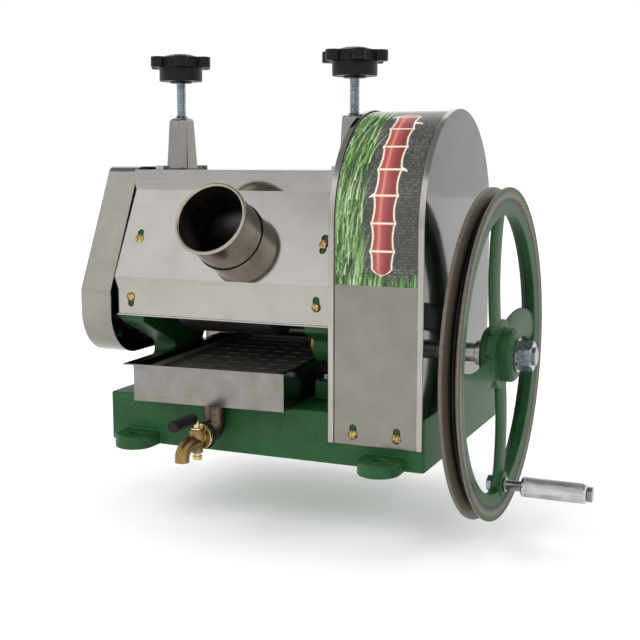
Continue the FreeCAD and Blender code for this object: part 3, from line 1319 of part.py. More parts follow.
def make_return_plate():
    """The plate between the lower rollers that turns the cane to the second nip."""
    crown_z = "(top_roller_z - %s - trash_plate_gap)" % ROLLER_RADIUS
    rows = [("trash_plate_stem", "trash_plate_low_z"), ("trash_plate_stem", "trash_neck_z"),
            ("trash_plate_crown", crown_z + " - hem"), ("trash_plate_crown", crown_z)]
    blade = put(slab("return_blade", "YZ_Plane", mirrored(rows),
                     "right_frame_x - left_frame_x - frame_thickness"), "left_frame_x + frame_thickness")
    pin = rod("return_pin", "x", "trash_pin_radius", "left_frame_x + frame_thickness - trash_pin_length",
              "right_frame_x + trash_pin_length", TRASH_PIN)
    return fuse("return_plate", blade, pin)


# ---------------------------------------------------------------- adjusters
def wedge(name, foot, top, low, high, x):
    """A tapered block standing upright between two heights."""
    solid = doc.addObject("Part::Wedge", name)
    bind(solid, Xmin="-(%s) / 2" % foot[0], Xmax="(%s) / 2" % foot[0], Zmin="-(%s) / 2" % foot[1],
         Zmax="(%s) / 2" % foot[1], X2min="-(%s) / 2" % top[0], X2max="(%s) / 2" % top[0],
         Z2min="-(%s) / 2" % top[1], Z2max="(%s) / 2" % top[1], Ymin=0, Ymax="(%s) - (%s)" % (high, low))
    solid.Placement = Placement(Vector(), Rotation(Vector(1, 0, 0), 90))
    return put(solid, x, "mill_y", low)


def make_sleeve(name, x):
    foot = ("sleeve_foot_x", "sleeve_foot_y")
    top = ("sleeve_top_x", "sleeve_top_y")
    thinner = "%s - 2 * cover_sheet"
    outside = wedge(name + "_outside", foot, top, "cap_top_z", "sleeve_top_z", x)
    inside = wedge(name + "_inside", [thinner % size for size in foot], [thinner % size for size in top],
                   "cap_top_z", "sleeve_top_z - cover_sheet", x)
    hole = rod(name + "_hole", "z", "screw_radius + 1", "sleeve_top_z - 5", "sleeve_top_z + 1", (x, "mill_y"))
    return cut(name, outside, inside, hole)


def make_adjuster(side, x):
    """Pressure pad, adjusting screw and star knob of one side."""
    centre = (x, "mill_y")
    pad_top = PAD_FOOT_Z + " + pressure_pad_height"
    seat = pad_top + " - pad_socket_depth"
    socket = rod(side + "_pad_socket", "z", "screw_radius + running_clearance", seat, pad_top + " + 1",
                 centre)
    pad = cut(side + "_pressure_pad",
              rod(side + "_pad_body", "z", "pressure_pad_radius", PAD_FOOT_Z, pad_top, centre), socket)
    screw = rod(side + "_adjusting_screw", "z", "screw_radius", seat, "screw_top_z", centre)
    star_low = "(knob_z + knob_hub_height)"
    star_high = "(%s + knob_star_height)" % star_low
    hub = put(lathe(side + "_knob_hub", "z", [
        ("knob_z - knob_collar_height", "screw_radius"),
        ("knob_z - knob_collar_height", "knob_collar_radius"),
        ("knob_z", "knob_collar_radius"),
        ("knob_z", "knob_hub_radius"),
        (star_high, "knob_hub_radius"),
        (star_high + " + knob_dome", "screw_radius * 2"),
        (star_high + " + knob_dome", "0"),
        ("screw_top_z", "0"),
        ("screw_top_z", "screw_radius"),
    ]), x, "mill_y")
    lobes = [hub, rod(side + "_core", "z", "knob_star_radius - 1.3 * knob_lobe_radius", star_low, star_high,
                      centre)]
    reach = "(knob_star_radius - knob_lobe_radius)"
    for index in range(int(value("knob_lobes"))):
        turn = "(360 / knob_lobes * %d)" % index
        place = ("%s + %s * cos(%s)" % (x, reach, turn), "mill_y + %s * sin(%s)" % (reach, turn))
        lobes.append(rod(side + "_lobe", "z", "knob_lobe_radius", star_low, star_high, place))
    bore = rod(side + "_knob_bore", "z", "screw_radius", star_low, "screw_top_z", centre)
    knob = cut(side + "_star_knob", fuse(side + "_knob_solid", *lobes), bore)
    return pad, screw, knob


# ---------------------------------------------------------------- juice tray and tap
def on_tray(target):
    """Turn a piece of the tray about the tray's front left corner."""
    target.Placement = Placement(Vector(), Rotation(Vector(0, 0, 1), 1))
    bind(target, Placement__Rotation__Angle="tray_turn")
    x = "tray_left"
    y = TRAY_FRONT_Y
    return put(target, "%s - %s * cos(tray_turn) + %s * sin(tray_turn)" % (x, x, y),
               "%s - %s * sin(tray_turn) - %s * cos(tray_turn)" % (y, x, y))


def make_tray():
    right = "(tray_left + tray_width)"
    front = TRAY_FRONT_Y
    rear = "(%s + tray_length)" % front
    top = TRAY_TOP_Z
    rim = (top + " - tray_sheet", top)
    lip = put(slab("left_lip", "XY_Plane", [
        ("tray_left - tray_left_lip", front),
        ("tray_left + tray_sheet", front),
        ("tray_left + tray_sheet", rear),
        ("tray_left - tray_rear_lip", rear),
    ], "tray_sheet"), 0, 0, rim[0])
    block = box("tray_block", ("tray_left", right), (front, rear), (TRAY_FLOOR_Z, top))
    solid = fuse("tray_solid", block, lip)
    depth = (front + " + tray_sheet", rear + " - tray_sheet")
    floor = TRAY_FLOOR_Z + " + tray_sheet"
    inside = box("tray_inside", ("tray_left + tray_sheet", right + " - tray_sheet"), depth, (floor, rim[0]))
    mouth = box("tray_mouth", ("tray_left + tray_sheet", right + " - tray_right_lip"), depth,
                (floor, top + " + 1"))
    outlet = rod("tray_outlet", "z", "nipple_radius - nipple_wall", TRAY_FLOOR_Z + " - 1", floor + " + 1",
                 ("nipple_x", NIPPLE_Y))
    return cut("juice_tray", on_tray(cut("tray_pan", solid, inside, mouth)), outlet)


def make_strainer():
    """A slotted plate on legs just below the tray's rim, its left flange level with the rim."""
    left = "(tray_left + strainer_left)"
    right = "(tray_left + tray_width - 3 * tray_sheet)"
    step = "(%s + strainer_flange)" % left
    front = "(%s + 2 * tray_sheet)" % TRAY_FRONT_Y
    rear = "(%s + tray_length - 2 * tray_sheet)" % TRAY_FRONT_Y
    floor = "(%s + tray_sheet + seat_gap)" % TRAY_FLOOR_Z
    high = "(%s - tray_sheet)" % TRAY_TOP_Z
    low = "(%s - strainer_drop)" % high
    path = [(left, floor), (left, high), (step, high), (step, low), (right, low), (right, floor)]
    channel = folded("strainer_sheet", path, "tray_sheet", front, rear, lengthways=True)
    windows = []
    for x in (left, right):
        windows.append(box("leg_window", (x + " - 2 * tray_sheet", x + " + 2 * tray_sheet"),
                           (front + " + strainer_window", rear + " - strainer_window"),
                           (floor + " - 1", low + " - strainer_flange")))
    rows = int(value("strainer_rows"))
    columns = int(value("strainer_columns"))
    slots = []
    for row in range(rows):
        for column in range(columns):
            x = "%s + (%s - %s) * %g" % (step, right, step, (column + 0.5) / columns)
            y = "%s + (%s - %s) * %g" % (front, rear, front, (row + 0.5) / rows)
            slots.append(box("strainer_hole", (x + " - strainer_slot / 2", x + " + strainer_slot / 2"),
                             (y + " - tray_sheet", y + " + tray_sheet"),
                             (low + " - 1", low + " + 2 * tray_sheet")))
    return on_tray(cut("strainer_plate", channel, *windows, *slots))


def pipe(path, radius):
    """A round bar along a path of straight and arc edges."""
    pieces = []
    for edge in path:
        start = edge.valueAt(edge.FirstParameter)
        disc = Part.Face(Part.Wire([Part.makeCircle(radius, start, edge.tangentAt(edge.FirstParameter))]))
        if isinstance(edge.Curve, Part.Circle):
            sweep = math.degrees(edge.LastParameter - edge.FirstParameter)
            pieces.append(disc.revolve(edge.Curve.Center, edge.Curve.Axis, sweep))
        else:
            pieces.append(disc.extrude(edge.valueAt(edge.LastParameter) - start))
    return pieces[0].fuse(pieces[1:])


def elbow(start, corner, end, radius):
    """Edges of a path from start through a rounded corner to end."""
    first = (start - corner).normalize() * radius
    second = (end - corner).normalize() * radius
    middle = corner + (first + second) * (1 - math.sqrt(0.5))
    return [Part.makeLine(start, corner + first), Part.Arc(corner + first, middle, corner + second).toShape(),
            Part.makeLine(corner + second, end)]


def tap_feature(name, shape, turn):
    """A tap piece, built along +X from the outlet pipe's axis, turned to its direction."""
    result = feature(name, shape)
    angle = 180 + value(turn)
    place = Vector(value("nipple_x"), value(NIPPLE_Y), 0)
    result.Placement = Placement(place, Rotation(Vector(0, 0, 1), angle))
    return result


def make_nipple():
    """The tray's outlet pipe: an elbow with a threaded bush in its end, and the gasket on it."""
    z = value("tap_z")
    reach = value("nipple_reach")
    radius = value("nipple_radius")
    inner = radius - value("nipple_wall")
    bend = value("nipple_bend")
    corner = Vector(0, 0, z)
    top = Vector(0, 0, value(TRAY_FLOOR_Z))
    ahead = Vector(1, 0, 0)
    thread = value("nipple_thread")
    hole = value("tap_shank_radius + seat_gap")
    body = pipe(elbow(top, corner, Vector(reach, 0, z), bend), radius)
    body = body.cut(pipe(elbow(top + Vector(0, 0, 1), corner, Vector(reach + 1, 0, z), bend), inner))
    bush_foot = Vector(reach - thread, 0, z)
    body = body.fuse(Part.makeCylinder(inner, thread, bush_foot, ahead))
    body = body.cut(Part.makeCylinder(hole, thread + 2, bush_foot - ahead, ahead))
    gasket_foot = Vector(reach + value("seat_gap"), 0, z)
    thickness = value("gasket_thickness")
    gasket = Part.makeCylinder(value("gasket_radius"), thickness, gasket_foot, ahead)
    gasket = gasket.cut(Part.makeCylinder(hole, thickness, gasket_foot, ahead))
    return tap_feature("tap_nipple", body, "tap_turn"), tap_feature("tap_gasket", gasket, "tap_turn")


def make_tap():
    z = value("tap_z")
    face = value("nipple_reach + gasket_thickness + 2 * seat_gap")
    width = value("tap_flange_width")
    plug_x = face + width + value("tap_seat")
    top = z + value("tap_body_rise")
    foot = top - value("tap_body_height")
    ahead = Vector(1, 0, 0)
    shank = value("nipple_reach - nipple_thread")
    axle = Vector(plug_x, 0, foot)
    low = z - value("spout_sink")
    corner = Vector(plug_x + value("spout_reach"), 0, low)
    mouth = Vector(corner.x, 0, z - value("spout_drop"))
    bend = value("spout_bend")
    body = Part.makeCone(value("tap_body_foot"), value("tap_body_top"), top - foot, axle)
    bar = Part.makeCylinder(value("tap_shank_radius"), plug_x - shank, Vector(shank, 0, z), ahead)
    flange = Part.makeCylinder(value("tap_flange_radius"), width, Vector(face, 0, z), ahead)
    spout = pipe(elbow(Vector(plug_x, 0, low), corner, mouth, bend), value("spout_radius"))
    body = body.fuse([bar, flange, spout])
    inner_start = Vector(plug_x + value("plug_radius - spout_wall"), 0, low)
    inner_path = elbow(inner_start, corner, mouth - Vector(0, 0, 1), bend)
    passage = value("plug_radius") * 0.6
    body = body.cut(pipe(inner_path, value("spout_radius - spout_wall")))
    body = body.cut(Part.makeCylinder(passage, plug_x - shank + 1, Vector(shank - 1, 0, z), ahead))
    body = body.cut(Part.makeCylinder(value("plug_radius + running_clearance"), top - foot + 2,
                                      axle - Vector(0, 0, 1)))
    tap = tap_feature("tap_body", body, "tap_turn")
    return tap, make_plug(plug_x, foot, top)


def make_plug(plug_x, foot, top):
    """The tap's plug with its collar, lever rod and nut; then the lever's grip."""
    gap = value("seat_gap")
    nut_top = foot - gap - value("plug_neck")
    nut_height = value("plug_nut_height")
    collar_top = top + gap + value("plug_collar_height")
    plug = Part.makeCylinder(value("plug_radius"), collar_top - nut_top + nut_height,
                             Vector(plug_x, 0, nut_top - nut_height))
    plug = plug.fuse(Part.makeCylinder(value("plug_collar"), collar_top - top - gap,
                                       Vector(plug_x, 0, top + gap)))
    passage = value("plug_radius") * 0.6
    ahead = Rotation(Vector(0, 0, 1), value("lever_turn")).multVec(Vector(1, 0, 0))
    plug = plug.cut(Part.makeCylinder(passage, 20, Vector(plug_x - 10, 0, value("tap_z")), Vector(1, 0, 0)))
    nut_foot = Vector(plug_x, 0, nut_top - nut_height)
    corner = Vector(value("plug_nut_flats") / math.sqrt(3), 0, 0)
    corners = [nut_foot + Rotation(Vector(0, 0, 1), 60 * index).multVec(corner) for index in range(7)]
    nut = Part.Face(Part.makePolygon(corners)).extrude(Vector(0, 0, nut_height))
    nut = nut.cut(Part.makeCylinder(value("plug_radius"), nut_height, nut_foot))
    bend = value("lever_bend")
    corner = Vector(plug_x, 0, collar_top + value("lever_rise") + bend)
    grip_start = corner + ahead * (bend + 2)
    grip_length = value("lever_grip_length")
    rod_end = grip_start + ahead * (grip_length / 2)
    plug = plug.fuse(pipe(elbow(Vector(plug_x, 0, collar_top - 0.5), corner, rod_end, bend),
                          value("lever_radius")))
    grip = Part.makeCylinder(value("lever_grip_radius"), grip_length, grip_start, ahead)
    grip = grip.cut(Part.makeCylinder(value("lever_radius"), grip_length / 2, grip_start, ahead))
    return (tap_feature("tap_plug", plug, "tap_turn"), tap_feature("tap_plug_nut", nut, "tap_turn"),
            tap_feature("lever_grip", grip, "tap_turn"))


# ---------------------------------------------------------------- the whole machine
pieces = [make_base()]
pieces += make_side_frames()
pieces += [make_frame_bolts(), make_cap("left_bearing_cap", "left_frame_x", LEFT_INNER, "left_adjuster_x"),
           make_cap("right_bearing_cap", RIGHT_INNER, RIGHT_OUTER, "right_adjuster_x"), make_cap_bolts(),
           make_block("left_bearing_block", "left_adjuster_x"),
           make_block("right_bearing_block", "right_adjuster_x")]
pieces += make_bushes()
pieces += make_ties()
pieces += [make_return_plate()]
pieces += make_rollers()
pieces += make_roller_gears()
pieces += [make_drive_gear(), make_drive_gear_nut(), make_pinion()]
pieces += make_crank_parts()
pieces += [make_wheel()]
pieces += make_handle()
pieces += make_mill_plates()
pieces += [make_feed_tube(), make_chute(), make_left_cover(), make_cover_studs()]
pieces += make_arch()
pieces += [make_screws(), make_sleeve("left_screw_sleeve", "left_adjuster_x"),
           make_sleeve("right_screw_sleeve", "right_adjuster_x")]
pieces += make_adjuster("left", "left_adjuster_x")
pieces += make_adjuster("right", "right_adjuster_x")
tap, lever = make_tap()
pieces += [make_tray(), make_strainer(), tap]
pieces += make_nipple()
pieces += lever
doc.recompute()

for item in doc.Objects:
    if "Invalid" in item.State or "Error" in item.State:
        raise RuntimeError("%s is %s" % (item.Name, item.State))
for piece in pieces:
    piece.Label = piece.Name
    if piece.Shape.isNull() or not piece.Shape.isValid():
        raise RuntimeError(piece.Label + " has no valid shape")
    for solid in piece.Shape.Solids:
        if solid.Volume <= 0:
            raise RuntimeError(piece.Label + " has an empty solid")
os.makedirs("parts", exist_ok=True)
for piece in pieces:
    piece.Shape.exportStep("parts/%s.step" % piece.Label)
print(len(pieces), "sub-parts written")
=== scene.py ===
# %% [markdown]
# # A hand-cranked sugarcane mill
# The imported CAD model comes in first, as a fixed frame in metres. Its castings, sheets and shafts keep their
# places and sizes. This lesson gives them finishes, softens their edges, and makes as surfaces the pieces whose
# shape is finer than the solids: threads, knurling, the rolled mouth of the feed tube, chamfered nuts, a rear
# apron that makes shade behind the rollers, and the printed film on the arched cover.

# %% Load the frame
import json
import math

import bmesh
import bpy
import numpy as np
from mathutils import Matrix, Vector


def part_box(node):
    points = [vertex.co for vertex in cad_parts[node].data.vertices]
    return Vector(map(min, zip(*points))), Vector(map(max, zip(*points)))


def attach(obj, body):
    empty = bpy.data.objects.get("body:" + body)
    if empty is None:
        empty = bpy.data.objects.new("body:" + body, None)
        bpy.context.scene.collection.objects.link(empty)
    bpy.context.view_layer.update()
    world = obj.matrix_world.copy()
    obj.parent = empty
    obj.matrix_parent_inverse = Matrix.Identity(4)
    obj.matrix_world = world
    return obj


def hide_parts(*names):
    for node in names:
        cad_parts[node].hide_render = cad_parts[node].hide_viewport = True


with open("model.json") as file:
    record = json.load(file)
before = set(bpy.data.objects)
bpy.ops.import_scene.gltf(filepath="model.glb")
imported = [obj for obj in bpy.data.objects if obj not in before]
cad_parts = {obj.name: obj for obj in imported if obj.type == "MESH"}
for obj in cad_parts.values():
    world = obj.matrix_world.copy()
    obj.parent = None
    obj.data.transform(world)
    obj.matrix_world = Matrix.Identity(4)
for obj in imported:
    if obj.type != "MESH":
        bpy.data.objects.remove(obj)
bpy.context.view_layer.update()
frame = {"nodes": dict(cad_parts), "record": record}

MM = 0.001
NODES = frame["nodes"]

# %% [markdown]
# ## Camera
# The machine is looked at from the user's right, a little above the top plate. The lens is a short telephoto,
# so that the wheel is a narrow ellipse. Yaw and pitch give the direction that the camera's back faces, and the
# camera is turned so that it looks the other way.

# %% Camera
CAMERA_PLACE = Vector((447.13, -1014.49, 270.01)) * MM
CAMERA_YAW = math.radians(23.37)
CAMERA_PITCH = math.radians(8.23)
FOCAL_LENGTH = 62.46
SENSOR_WIDTH = 36.0

lens = bpy.data.cameras.new("camera")
lens.lens = FOCAL_LENGTH
lens.sensor_width = SENSOR_WIDTH
camera = bpy.data.objects.new("camera", lens)
bpy.context.scene.collection.objects.link(camera)
back = Vector((math.sin(CAMERA_YAW) * math.cos(CAMERA_PITCH), -math.cos(CAMERA_YAW) * math.cos(CAMERA_PITCH),
               math.sin(CAMERA_PITCH)))
camera.location = CAMERA_PLACE
camera.rotation_mode = "QUATERNION"
camera.rotation_quaternion = (-back).to_track_quat("-Z", "Y")
bpy.context.scene.camera = camera
print("camera at", [round(part, 3) for part in camera.location])

# %% [markdown]
# ## Floor and light
# A pale floor runs far out, so that it has no edge near the machine. It lies below the machine's base, because
# the wheel and the tap reach down past the edge of the bench. It glows a little, as a lit acrylic table does,
# and more so far away, which keeps it as white as the horizon.
#
# The world is white low down, brighter half-way up and grey overhead, because polished sheet shows nothing but
# its surroundings: the sloped front looks up at the bright band and, near its top edge, at the grey; the upright
# sheets look out at the white. Broad soft boxes add the shading on the castings. They are left out of the
# mirrored surroundings, so that no hard-edged patch shows on the sheets. The display transform is the plain one,
# so that a colour set as a hex value shows as that colour.

# %% Helpers for colour and nodes
def linear(hex_colour):
    """An sRGB hex colour as linear red, green, blue and alpha."""
    parts = np.array([int(hex_colour[place:place + 2], 16) for place in (1, 3, 5)]) / 255
    parts = np.where(parts <= 0.04045, parts / 12.92, ((parts + 0.055) / 1.055) ** 2.4)
    return tuple(float(part) for part in parts) + (1.0,)


def add(tree, kind, values=None, links=None, **settings):
    """Add a node, set its properties and input values, and link its inputs to the outputs given."""
    node = tree.nodes.new(kind)
    for name, setting in settings.items():
        setattr(node, name, setting)
    for socket, value in (values or {}).items():
        node.inputs[socket].default_value = value
    for socket, source in (links or {}).items():
        tree.links.new(source, node.inputs[socket])
    return node


def new_material(name):
    """An empty node material with its output; returns the material and its tree."""
    material = bpy.data.materials.new(name)
    material.use_nodes = True
    material.node_tree.nodes.clear()
    return material, material.node_tree


print("linear mid grey", [round(part, 3) for part in linear("#808080")])

# %% Floor
FLOOR_Z = -75 * MM
FLOOR_HALF = 9.0                # metres from the middle to an edge
GLOW_NEAR, GLOW_FAR = 0.22, 0.5
GLOW_FROM, GLOW_TO = 1.6, 4.0   # metres from the machine between which the glow rises

scene = bpy.context.scene
scene.view_settings.view_transform = "Standard"

floor_mesh = bpy.data.meshes.new("floor")
corners = np.array([(-1, -1), (1, -1), (1, 1), (-1, 1)]) * FLOOR_HALF
floor_mesh.from_pydata([(x, y, FLOOR_Z) for x, y in corners], [], [(0, 1, 2, 3)])
floor = bpy.data.objects.new("floor", floor_mesh)
scene.collection.objects.link(floor)

lit_acrylic, tree = new_material("lit_acrylic_table")
spread = add(tree, "ShaderNodeTexNoise", {"Scale": 2.0, "Detail": 2.0},
             {"Vector": add(tree, "ShaderNodeTexCoord").outputs["Object"]})
tone = add(tree, "ShaderNodeMix", {6: linear("#F2F2F1"), 7: linear("#F6F6F5")},
           {0: spread.outputs["Fac"]}, data_type="RGBA")
distance = add(tree, "ShaderNodeVectorMath", None, {0: add(tree, "ShaderNodeTexCoord").outputs["Object"]},
               operation="LENGTH")
glow = add(tree, "ShaderNodeMapRange",
           {"From Min": GLOW_FROM, "From Max": GLOW_TO, "To Min": GLOW_NEAR, "To Max": GLOW_FAR},
           {0: distance.outputs["Value"]})
shader = add(tree, "ShaderNodeBsdfPrincipled", {"Roughness": 0.9, "Specular IOR Level": 0.1},
             {"Base Color": tone.outputs[2], "Emission Color": tone.outputs[2],
              "Emission Strength": glow.outputs[0]})
add(tree, "ShaderNodeOutputMaterial", None, {"Surface": shader.outputs["BSDF"]})
floor_mesh.materials.append(lit_acrylic)
print("floor", 2 * FLOOR_HALF, "m wide at z", FLOOR_Z)

# %% World and lights
# Each band is the sine of the height above the horizon and the brightness there.
SKY = ((0.0, 1.0), (0.17, 1.0), (0.4, 1.3), (0.66, 1.45), (0.74, 0.7), (0.8, 0.42), (1.0, 0.34))
SKY_STRENGTH = 1.02
LIGHT_AIM = Vector((0.05, -0.03, 0.12))
# Each light is its name, its place in metres, the side of its square in metres and its power in watts.
LIGHTS = (
    ("key", (-0.9, -1.5, 1.6), 1.1, 15),
    ("fill", (1.7, -0.5, 0.9), 0.9, 4),
    ("top", (0.1, 0.5, 1.9), 1.2, 7),
)

world = bpy.data.worlds.new("studio")
world.use_nodes = True
tree = world.node_tree
tree.nodes.clear()
upward = add(tree, "ShaderNodeSeparateXYZ", None, {0: add(tree, "ShaderNodeTexCoord").outputs["Generated"]})
bands = add(tree, "ShaderNodeValToRGB", None, {0: upward.outputs["Z"]})
steps = bands.color_ramp.elements
for number, (height, level) in enumerate(SKY):
    step = steps[number] if number < 2 else steps.new(height)
    step.position = height
    step.color = (level, level, level, 1)
glow = add(tree, "ShaderNodeBackground", {"Strength": SKY_STRENGTH}, {"Color": bands.outputs["Color"]})
add(tree, "ShaderNodeOutputWorld", None, {"Surface": glow.outputs[0]})
scene.world = world

for name, place, size, power in LIGHTS:
    lamp = bpy.data.lights.new(name, "AREA")
    lamp.shape = "RECTANGLE"
    lamp.size = lamp.size_y = size
    lamp.energy = power
    light = bpy.data.objects.new(name, lamp)
    scene.collection.objects.link(light)
    light.location = place
    light.visible_glossy = False
    light.rotation_mode = "QUATERNION"
    light.rotation_quaternion = (LIGHT_AIM - Vector(place)).to_track_quat("-Z", "Y")
print("lights", [light[0] for light in LIGHTS])

# %% [markdown]
# ## Green enamel on cast iron
# The base and the side frames are sand castings, painted with a thick gloss enamel. The paint fills the sand's
# grain only in part, so the surface is glossy but softly pitted; here and there it is thin and a little darker.
# The colour varies over some centimetres, and the pits are about a millimetre and a half across.

# %% Green enamel
ENAMEL_PATCH = 28 * MM    # how broad the lighter and darker places are
ENAMEL_SWELL = 7 * MM     # the slow waves of the sand mould
ENAMEL_PIT = 1.5 * MM     # the pits between grains of sand
ENAMEL_RELIEF = 0.22 * MM
FLECK = "#557C5B"         # the highest grains are rubbed a little paler


def object_place(tree):
    """The place of each point in metres, in the model's own frame."""
    return add(tree, "ShaderNodeTexCoord").outputs["Object"]


def cast_enamel(name, light, dark, gloss, bare=None):
    """Gloss enamel over sand-cast iron: two near tones, a clear coat and a pitted skin.

    bare, where it is given, draws the iron that the paint leaves bare: a mask and a colour."""
    material, tree = new_material(name)
    place = object_place(tree)
    broad = add(tree, "ShaderNodeTexNoise", {"Scale": 1 / ENAMEL_PATCH, "Detail": 4.0, "Roughness": 0.6},
                {"Vector": place})
    spread = add(tree, "ShaderNodeMapRange", {"From Min": 0.32, "From Max": 0.68}, {0: broad.outputs["Fac"]})
    tone = add(tree, "ShaderNodeMix", {6: linear(dark), 7: linear(light)}, {0: spread.outputs[0]},
               data_type="RGBA")
    grain = add(tree, "ShaderNodeTexNoise", {"Scale": 1 / ENAMEL_PIT, "Detail": 3.0, "Roughness": 0.55},
                {"Vector": place})
    speck = add(tree, "ShaderNodeMapRange", {"From Min": 0.6, "From Max": 0.75, "To Max": 0.4},
                {0: grain.outputs["Fac"]})
    flecked = add(tree, "ShaderNodeMix", {7: linear(FLECK)}, {0: speck.outputs[0], 6: tone.outputs[2]},
                  data_type="RGBA")
    colour = flecked.outputs[2]
    sheen = add(tree, "ShaderNodeMapRange", {"To Min": gloss, "To Max": gloss + 0.16}, {0: broad.outputs["Fac"]})
    swell = add(tree, "ShaderNodeTexNoise", {"Scale": 1 / ENAMEL_SWELL, "Detail": 2.0}, {"Vector": place})
    skin = add(tree, "ShaderNodeMath", {1: 2.5}, {0: swell.outputs["Fac"]}, operation="MULTIPLY")
    height = add(tree, "ShaderNodeMath", None, {0: skin.outputs[0], 1: grain.outputs["Fac"]}, operation="ADD")
    bump = add(tree, "ShaderNodeBump", {"Strength": 0.5, "Distance": ENAMEL_RELIEF}, {"Height": height.outputs[0]})
    shader = add(tree, "ShaderNodeBsdfPrincipled",
                 {"Specular IOR Level": 0.22, "Coat Weight": 0.08, "Coat Roughness": 0.2},
                 {"Roughness": sheen.outputs[0], "Normal": bump.outputs[0]})
    if bare:
        mask, iron = bare(tree, place)
        worn = add(tree, "ShaderNodeMix", None, {0: mask, 6: colour, 7: iron}, data_type="RGBA")
        colour = worn.outputs[2]
        metal = add(tree, "ShaderNodeMath", {1: 0.55}, {0: mask}, operation="MULTIPLY")
        tree.links.new(metal.outputs[0], shader.inputs["Metallic"])
    tree.links.new(colour, shader.inputs["Base Color"])
    add(tree, "ShaderNodeOutputMaterial", None, {"Surface": shader.outputs["BSDF"]})
    return material


green_enamel = cast_enamel("green_enamel_on_cast_iron", "#1F5328", "#174120", 0.4)
print("enamel", green_enamel.name, "pits", ENAMEL_PIT)

# %% [markdown]
# ## The wheel's bare rim
# The wheel is painted before its rim is turned, so the two lands of the rim and the walls of the belt groove
# are bare iron, grey and tan with small rusty specks; the bottom of the groove is painted shade, nearly black.
# The mask is worked out from the distance to the wheel's axis and from the place across the rim, so the edge of
# the paint is a true circle, a little ragged.

# %% Bare iron on the rim
RIM_LOW, RIM_HIGH = (np.array(corner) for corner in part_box("crank_wheel"))
WHEEL_AXIS = (0.0, (RIM_LOW[1] + RIM_HIGH[1]) / 2, (RIM_LOW[2] + RIM_HIGH[2]) / 2)
WHEEL_RADIUS = (RIM_HIGH[2] - RIM_LOW[2]) / 2
WHEEL_FACE = 197.6 * MM   # where the rim's inner face lies along X
RIM_WIDTH = 17.5 * MM
GROOVE_DEPTH = 12 * MM
GROOVE_FLOOR = WHEEL_RADIUS - GROOVE_DEPTH
RUST_PATCH = 2.5 * MM
IRON_GRAIN = 1.1 * MM
RAGGED_EDGE = 1.6 * MM    # how far the paint's edge strays


def bare_rim(tree, place):
    """A mask of the rim's turned surfaces, with a ragged edge, and the bare iron's colour there, with painted shade
    at the groove's bottom.
    """
    ragged = add(tree, "ShaderNodeTexNoise", {"Scale": 1 / RUST_PATCH, "Detail": 3.0}, {"Vector": place})
    spoke = add(tree, "ShaderNodeVectorMath", {1: WHEEL_AXIS}, {0: place}, operation="SUBTRACT")
    radial = add(tree, "ShaderNodeVectorMath", {1: (0, 1, 1)}, {0: spoke.outputs[0]}, operation="MULTIPLY")
    reach = add(tree, "ShaderNodeVectorMath", None, {0: radial.outputs[0]}, operation="LENGTH").outputs["Value"]
    across = add(tree, "ShaderNodeSeparateXYZ", None, {0: place}).outputs["X"]
    jitter = add(tree, "ShaderNodeMath", {1: RAGGED_EDGE}, {0: ragged.outputs["Fac"]}, operation="MULTIPLY")
    shifted = add(tree, "ShaderNodeMath", None, {0: across, 1: jitter.outputs[0]}, operation="SUBTRACT")
    inner = add(tree, "ShaderNodeMapRange", {"From Min": WHEEL_FACE - 0.6 * MM, "From Max": WHEEL_FACE},
                {0: shifted.outputs[0]})
    outer = add(tree, "ShaderNodeMapRange",
                {"From Min": WHEEL_FACE + RIM_WIDTH - 1.6 * MM, "From Max": WHEEL_FACE + RIM_WIDTH - 1.1 * MM,
                 "To Min": 1.0, "To Max": 0.0}, {0: shifted.outputs[0]})
    far = add(tree, "ShaderNodeMapRange",
              {"From Min": GROOVE_FLOOR - 1.2 * MM, "From Max": GROOVE_FLOOR - 0.6 * MM}, {0: reach})
    both = add(tree, "ShaderNodeMath", None, {0: inner.outputs[0], 1: outer.outputs[0]}, operation="MULTIPLY")
    mask = add(tree, "ShaderNodeMath", None, {0: both.outputs[0], 1: far.outputs[0]}, operation="MULTIPLY")
    fine = add(tree, "ShaderNodeTexNoise", {"Scale": 1 / IRON_GRAIN, "Detail": 4.0, "Roughness": 0.7},
               {"Vector": place})
    grey = add(tree, "ShaderNodeMix", {6: linear("#332E29"), 7: linear("#8A8176")}, {0: fine.outputs["Fac"]},
               data_type="RGBA")
    rust = add(tree, "ShaderNodeMapRange", {"From Min": 0.58, "From Max": 0.66, "To Max": 0.6},
               {0: ragged.outputs["Fac"]})
    rusty = add(tree, "ShaderNodeMix", {7: linear("#6E4630")}, {0: rust.outputs[0], 6: grey.outputs[2]},
                data_type="RGBA")
    # The bottom of the groove is painted nearly black, as shade, fading out a few millimetres up its walls.
    out_of_groove_shade = add(tree, "ShaderNodeMapRange",
                      {"From Min": GROOVE_FLOOR + 1.2 * MM, "From Max": GROOVE_FLOOR + 5 * MM}, {0: reach})
    iron = add(tree, "ShaderNodeMix", {6: linear("#141210")},
               {0: out_of_groove_shade.outputs[0], 7: rusty.outputs[2]}, data_type="RGBA")
    return mask.outputs[0], iron.outputs[2]


wheel_enamel = cast_enamel("green_enamel_with_turned_rim", "#1D4A25", "#15361A", 0.44, bare_rim)
print("wheel radius", round(WHEEL_RADIUS, 4))

# %% [markdown]
# ## Rolled, polished and brushed metals
# All the metals share one recipe: a conductor whose colour varies a little, whose polish is crossed by fine
# lines, and whose sheet is never quite flat. The lines follow the way the metal was worked: along the sheet for
# rolled stainless, round the axis for turned steel. A metal keeps the default IOR; its look is in its colour and
# its roughness.

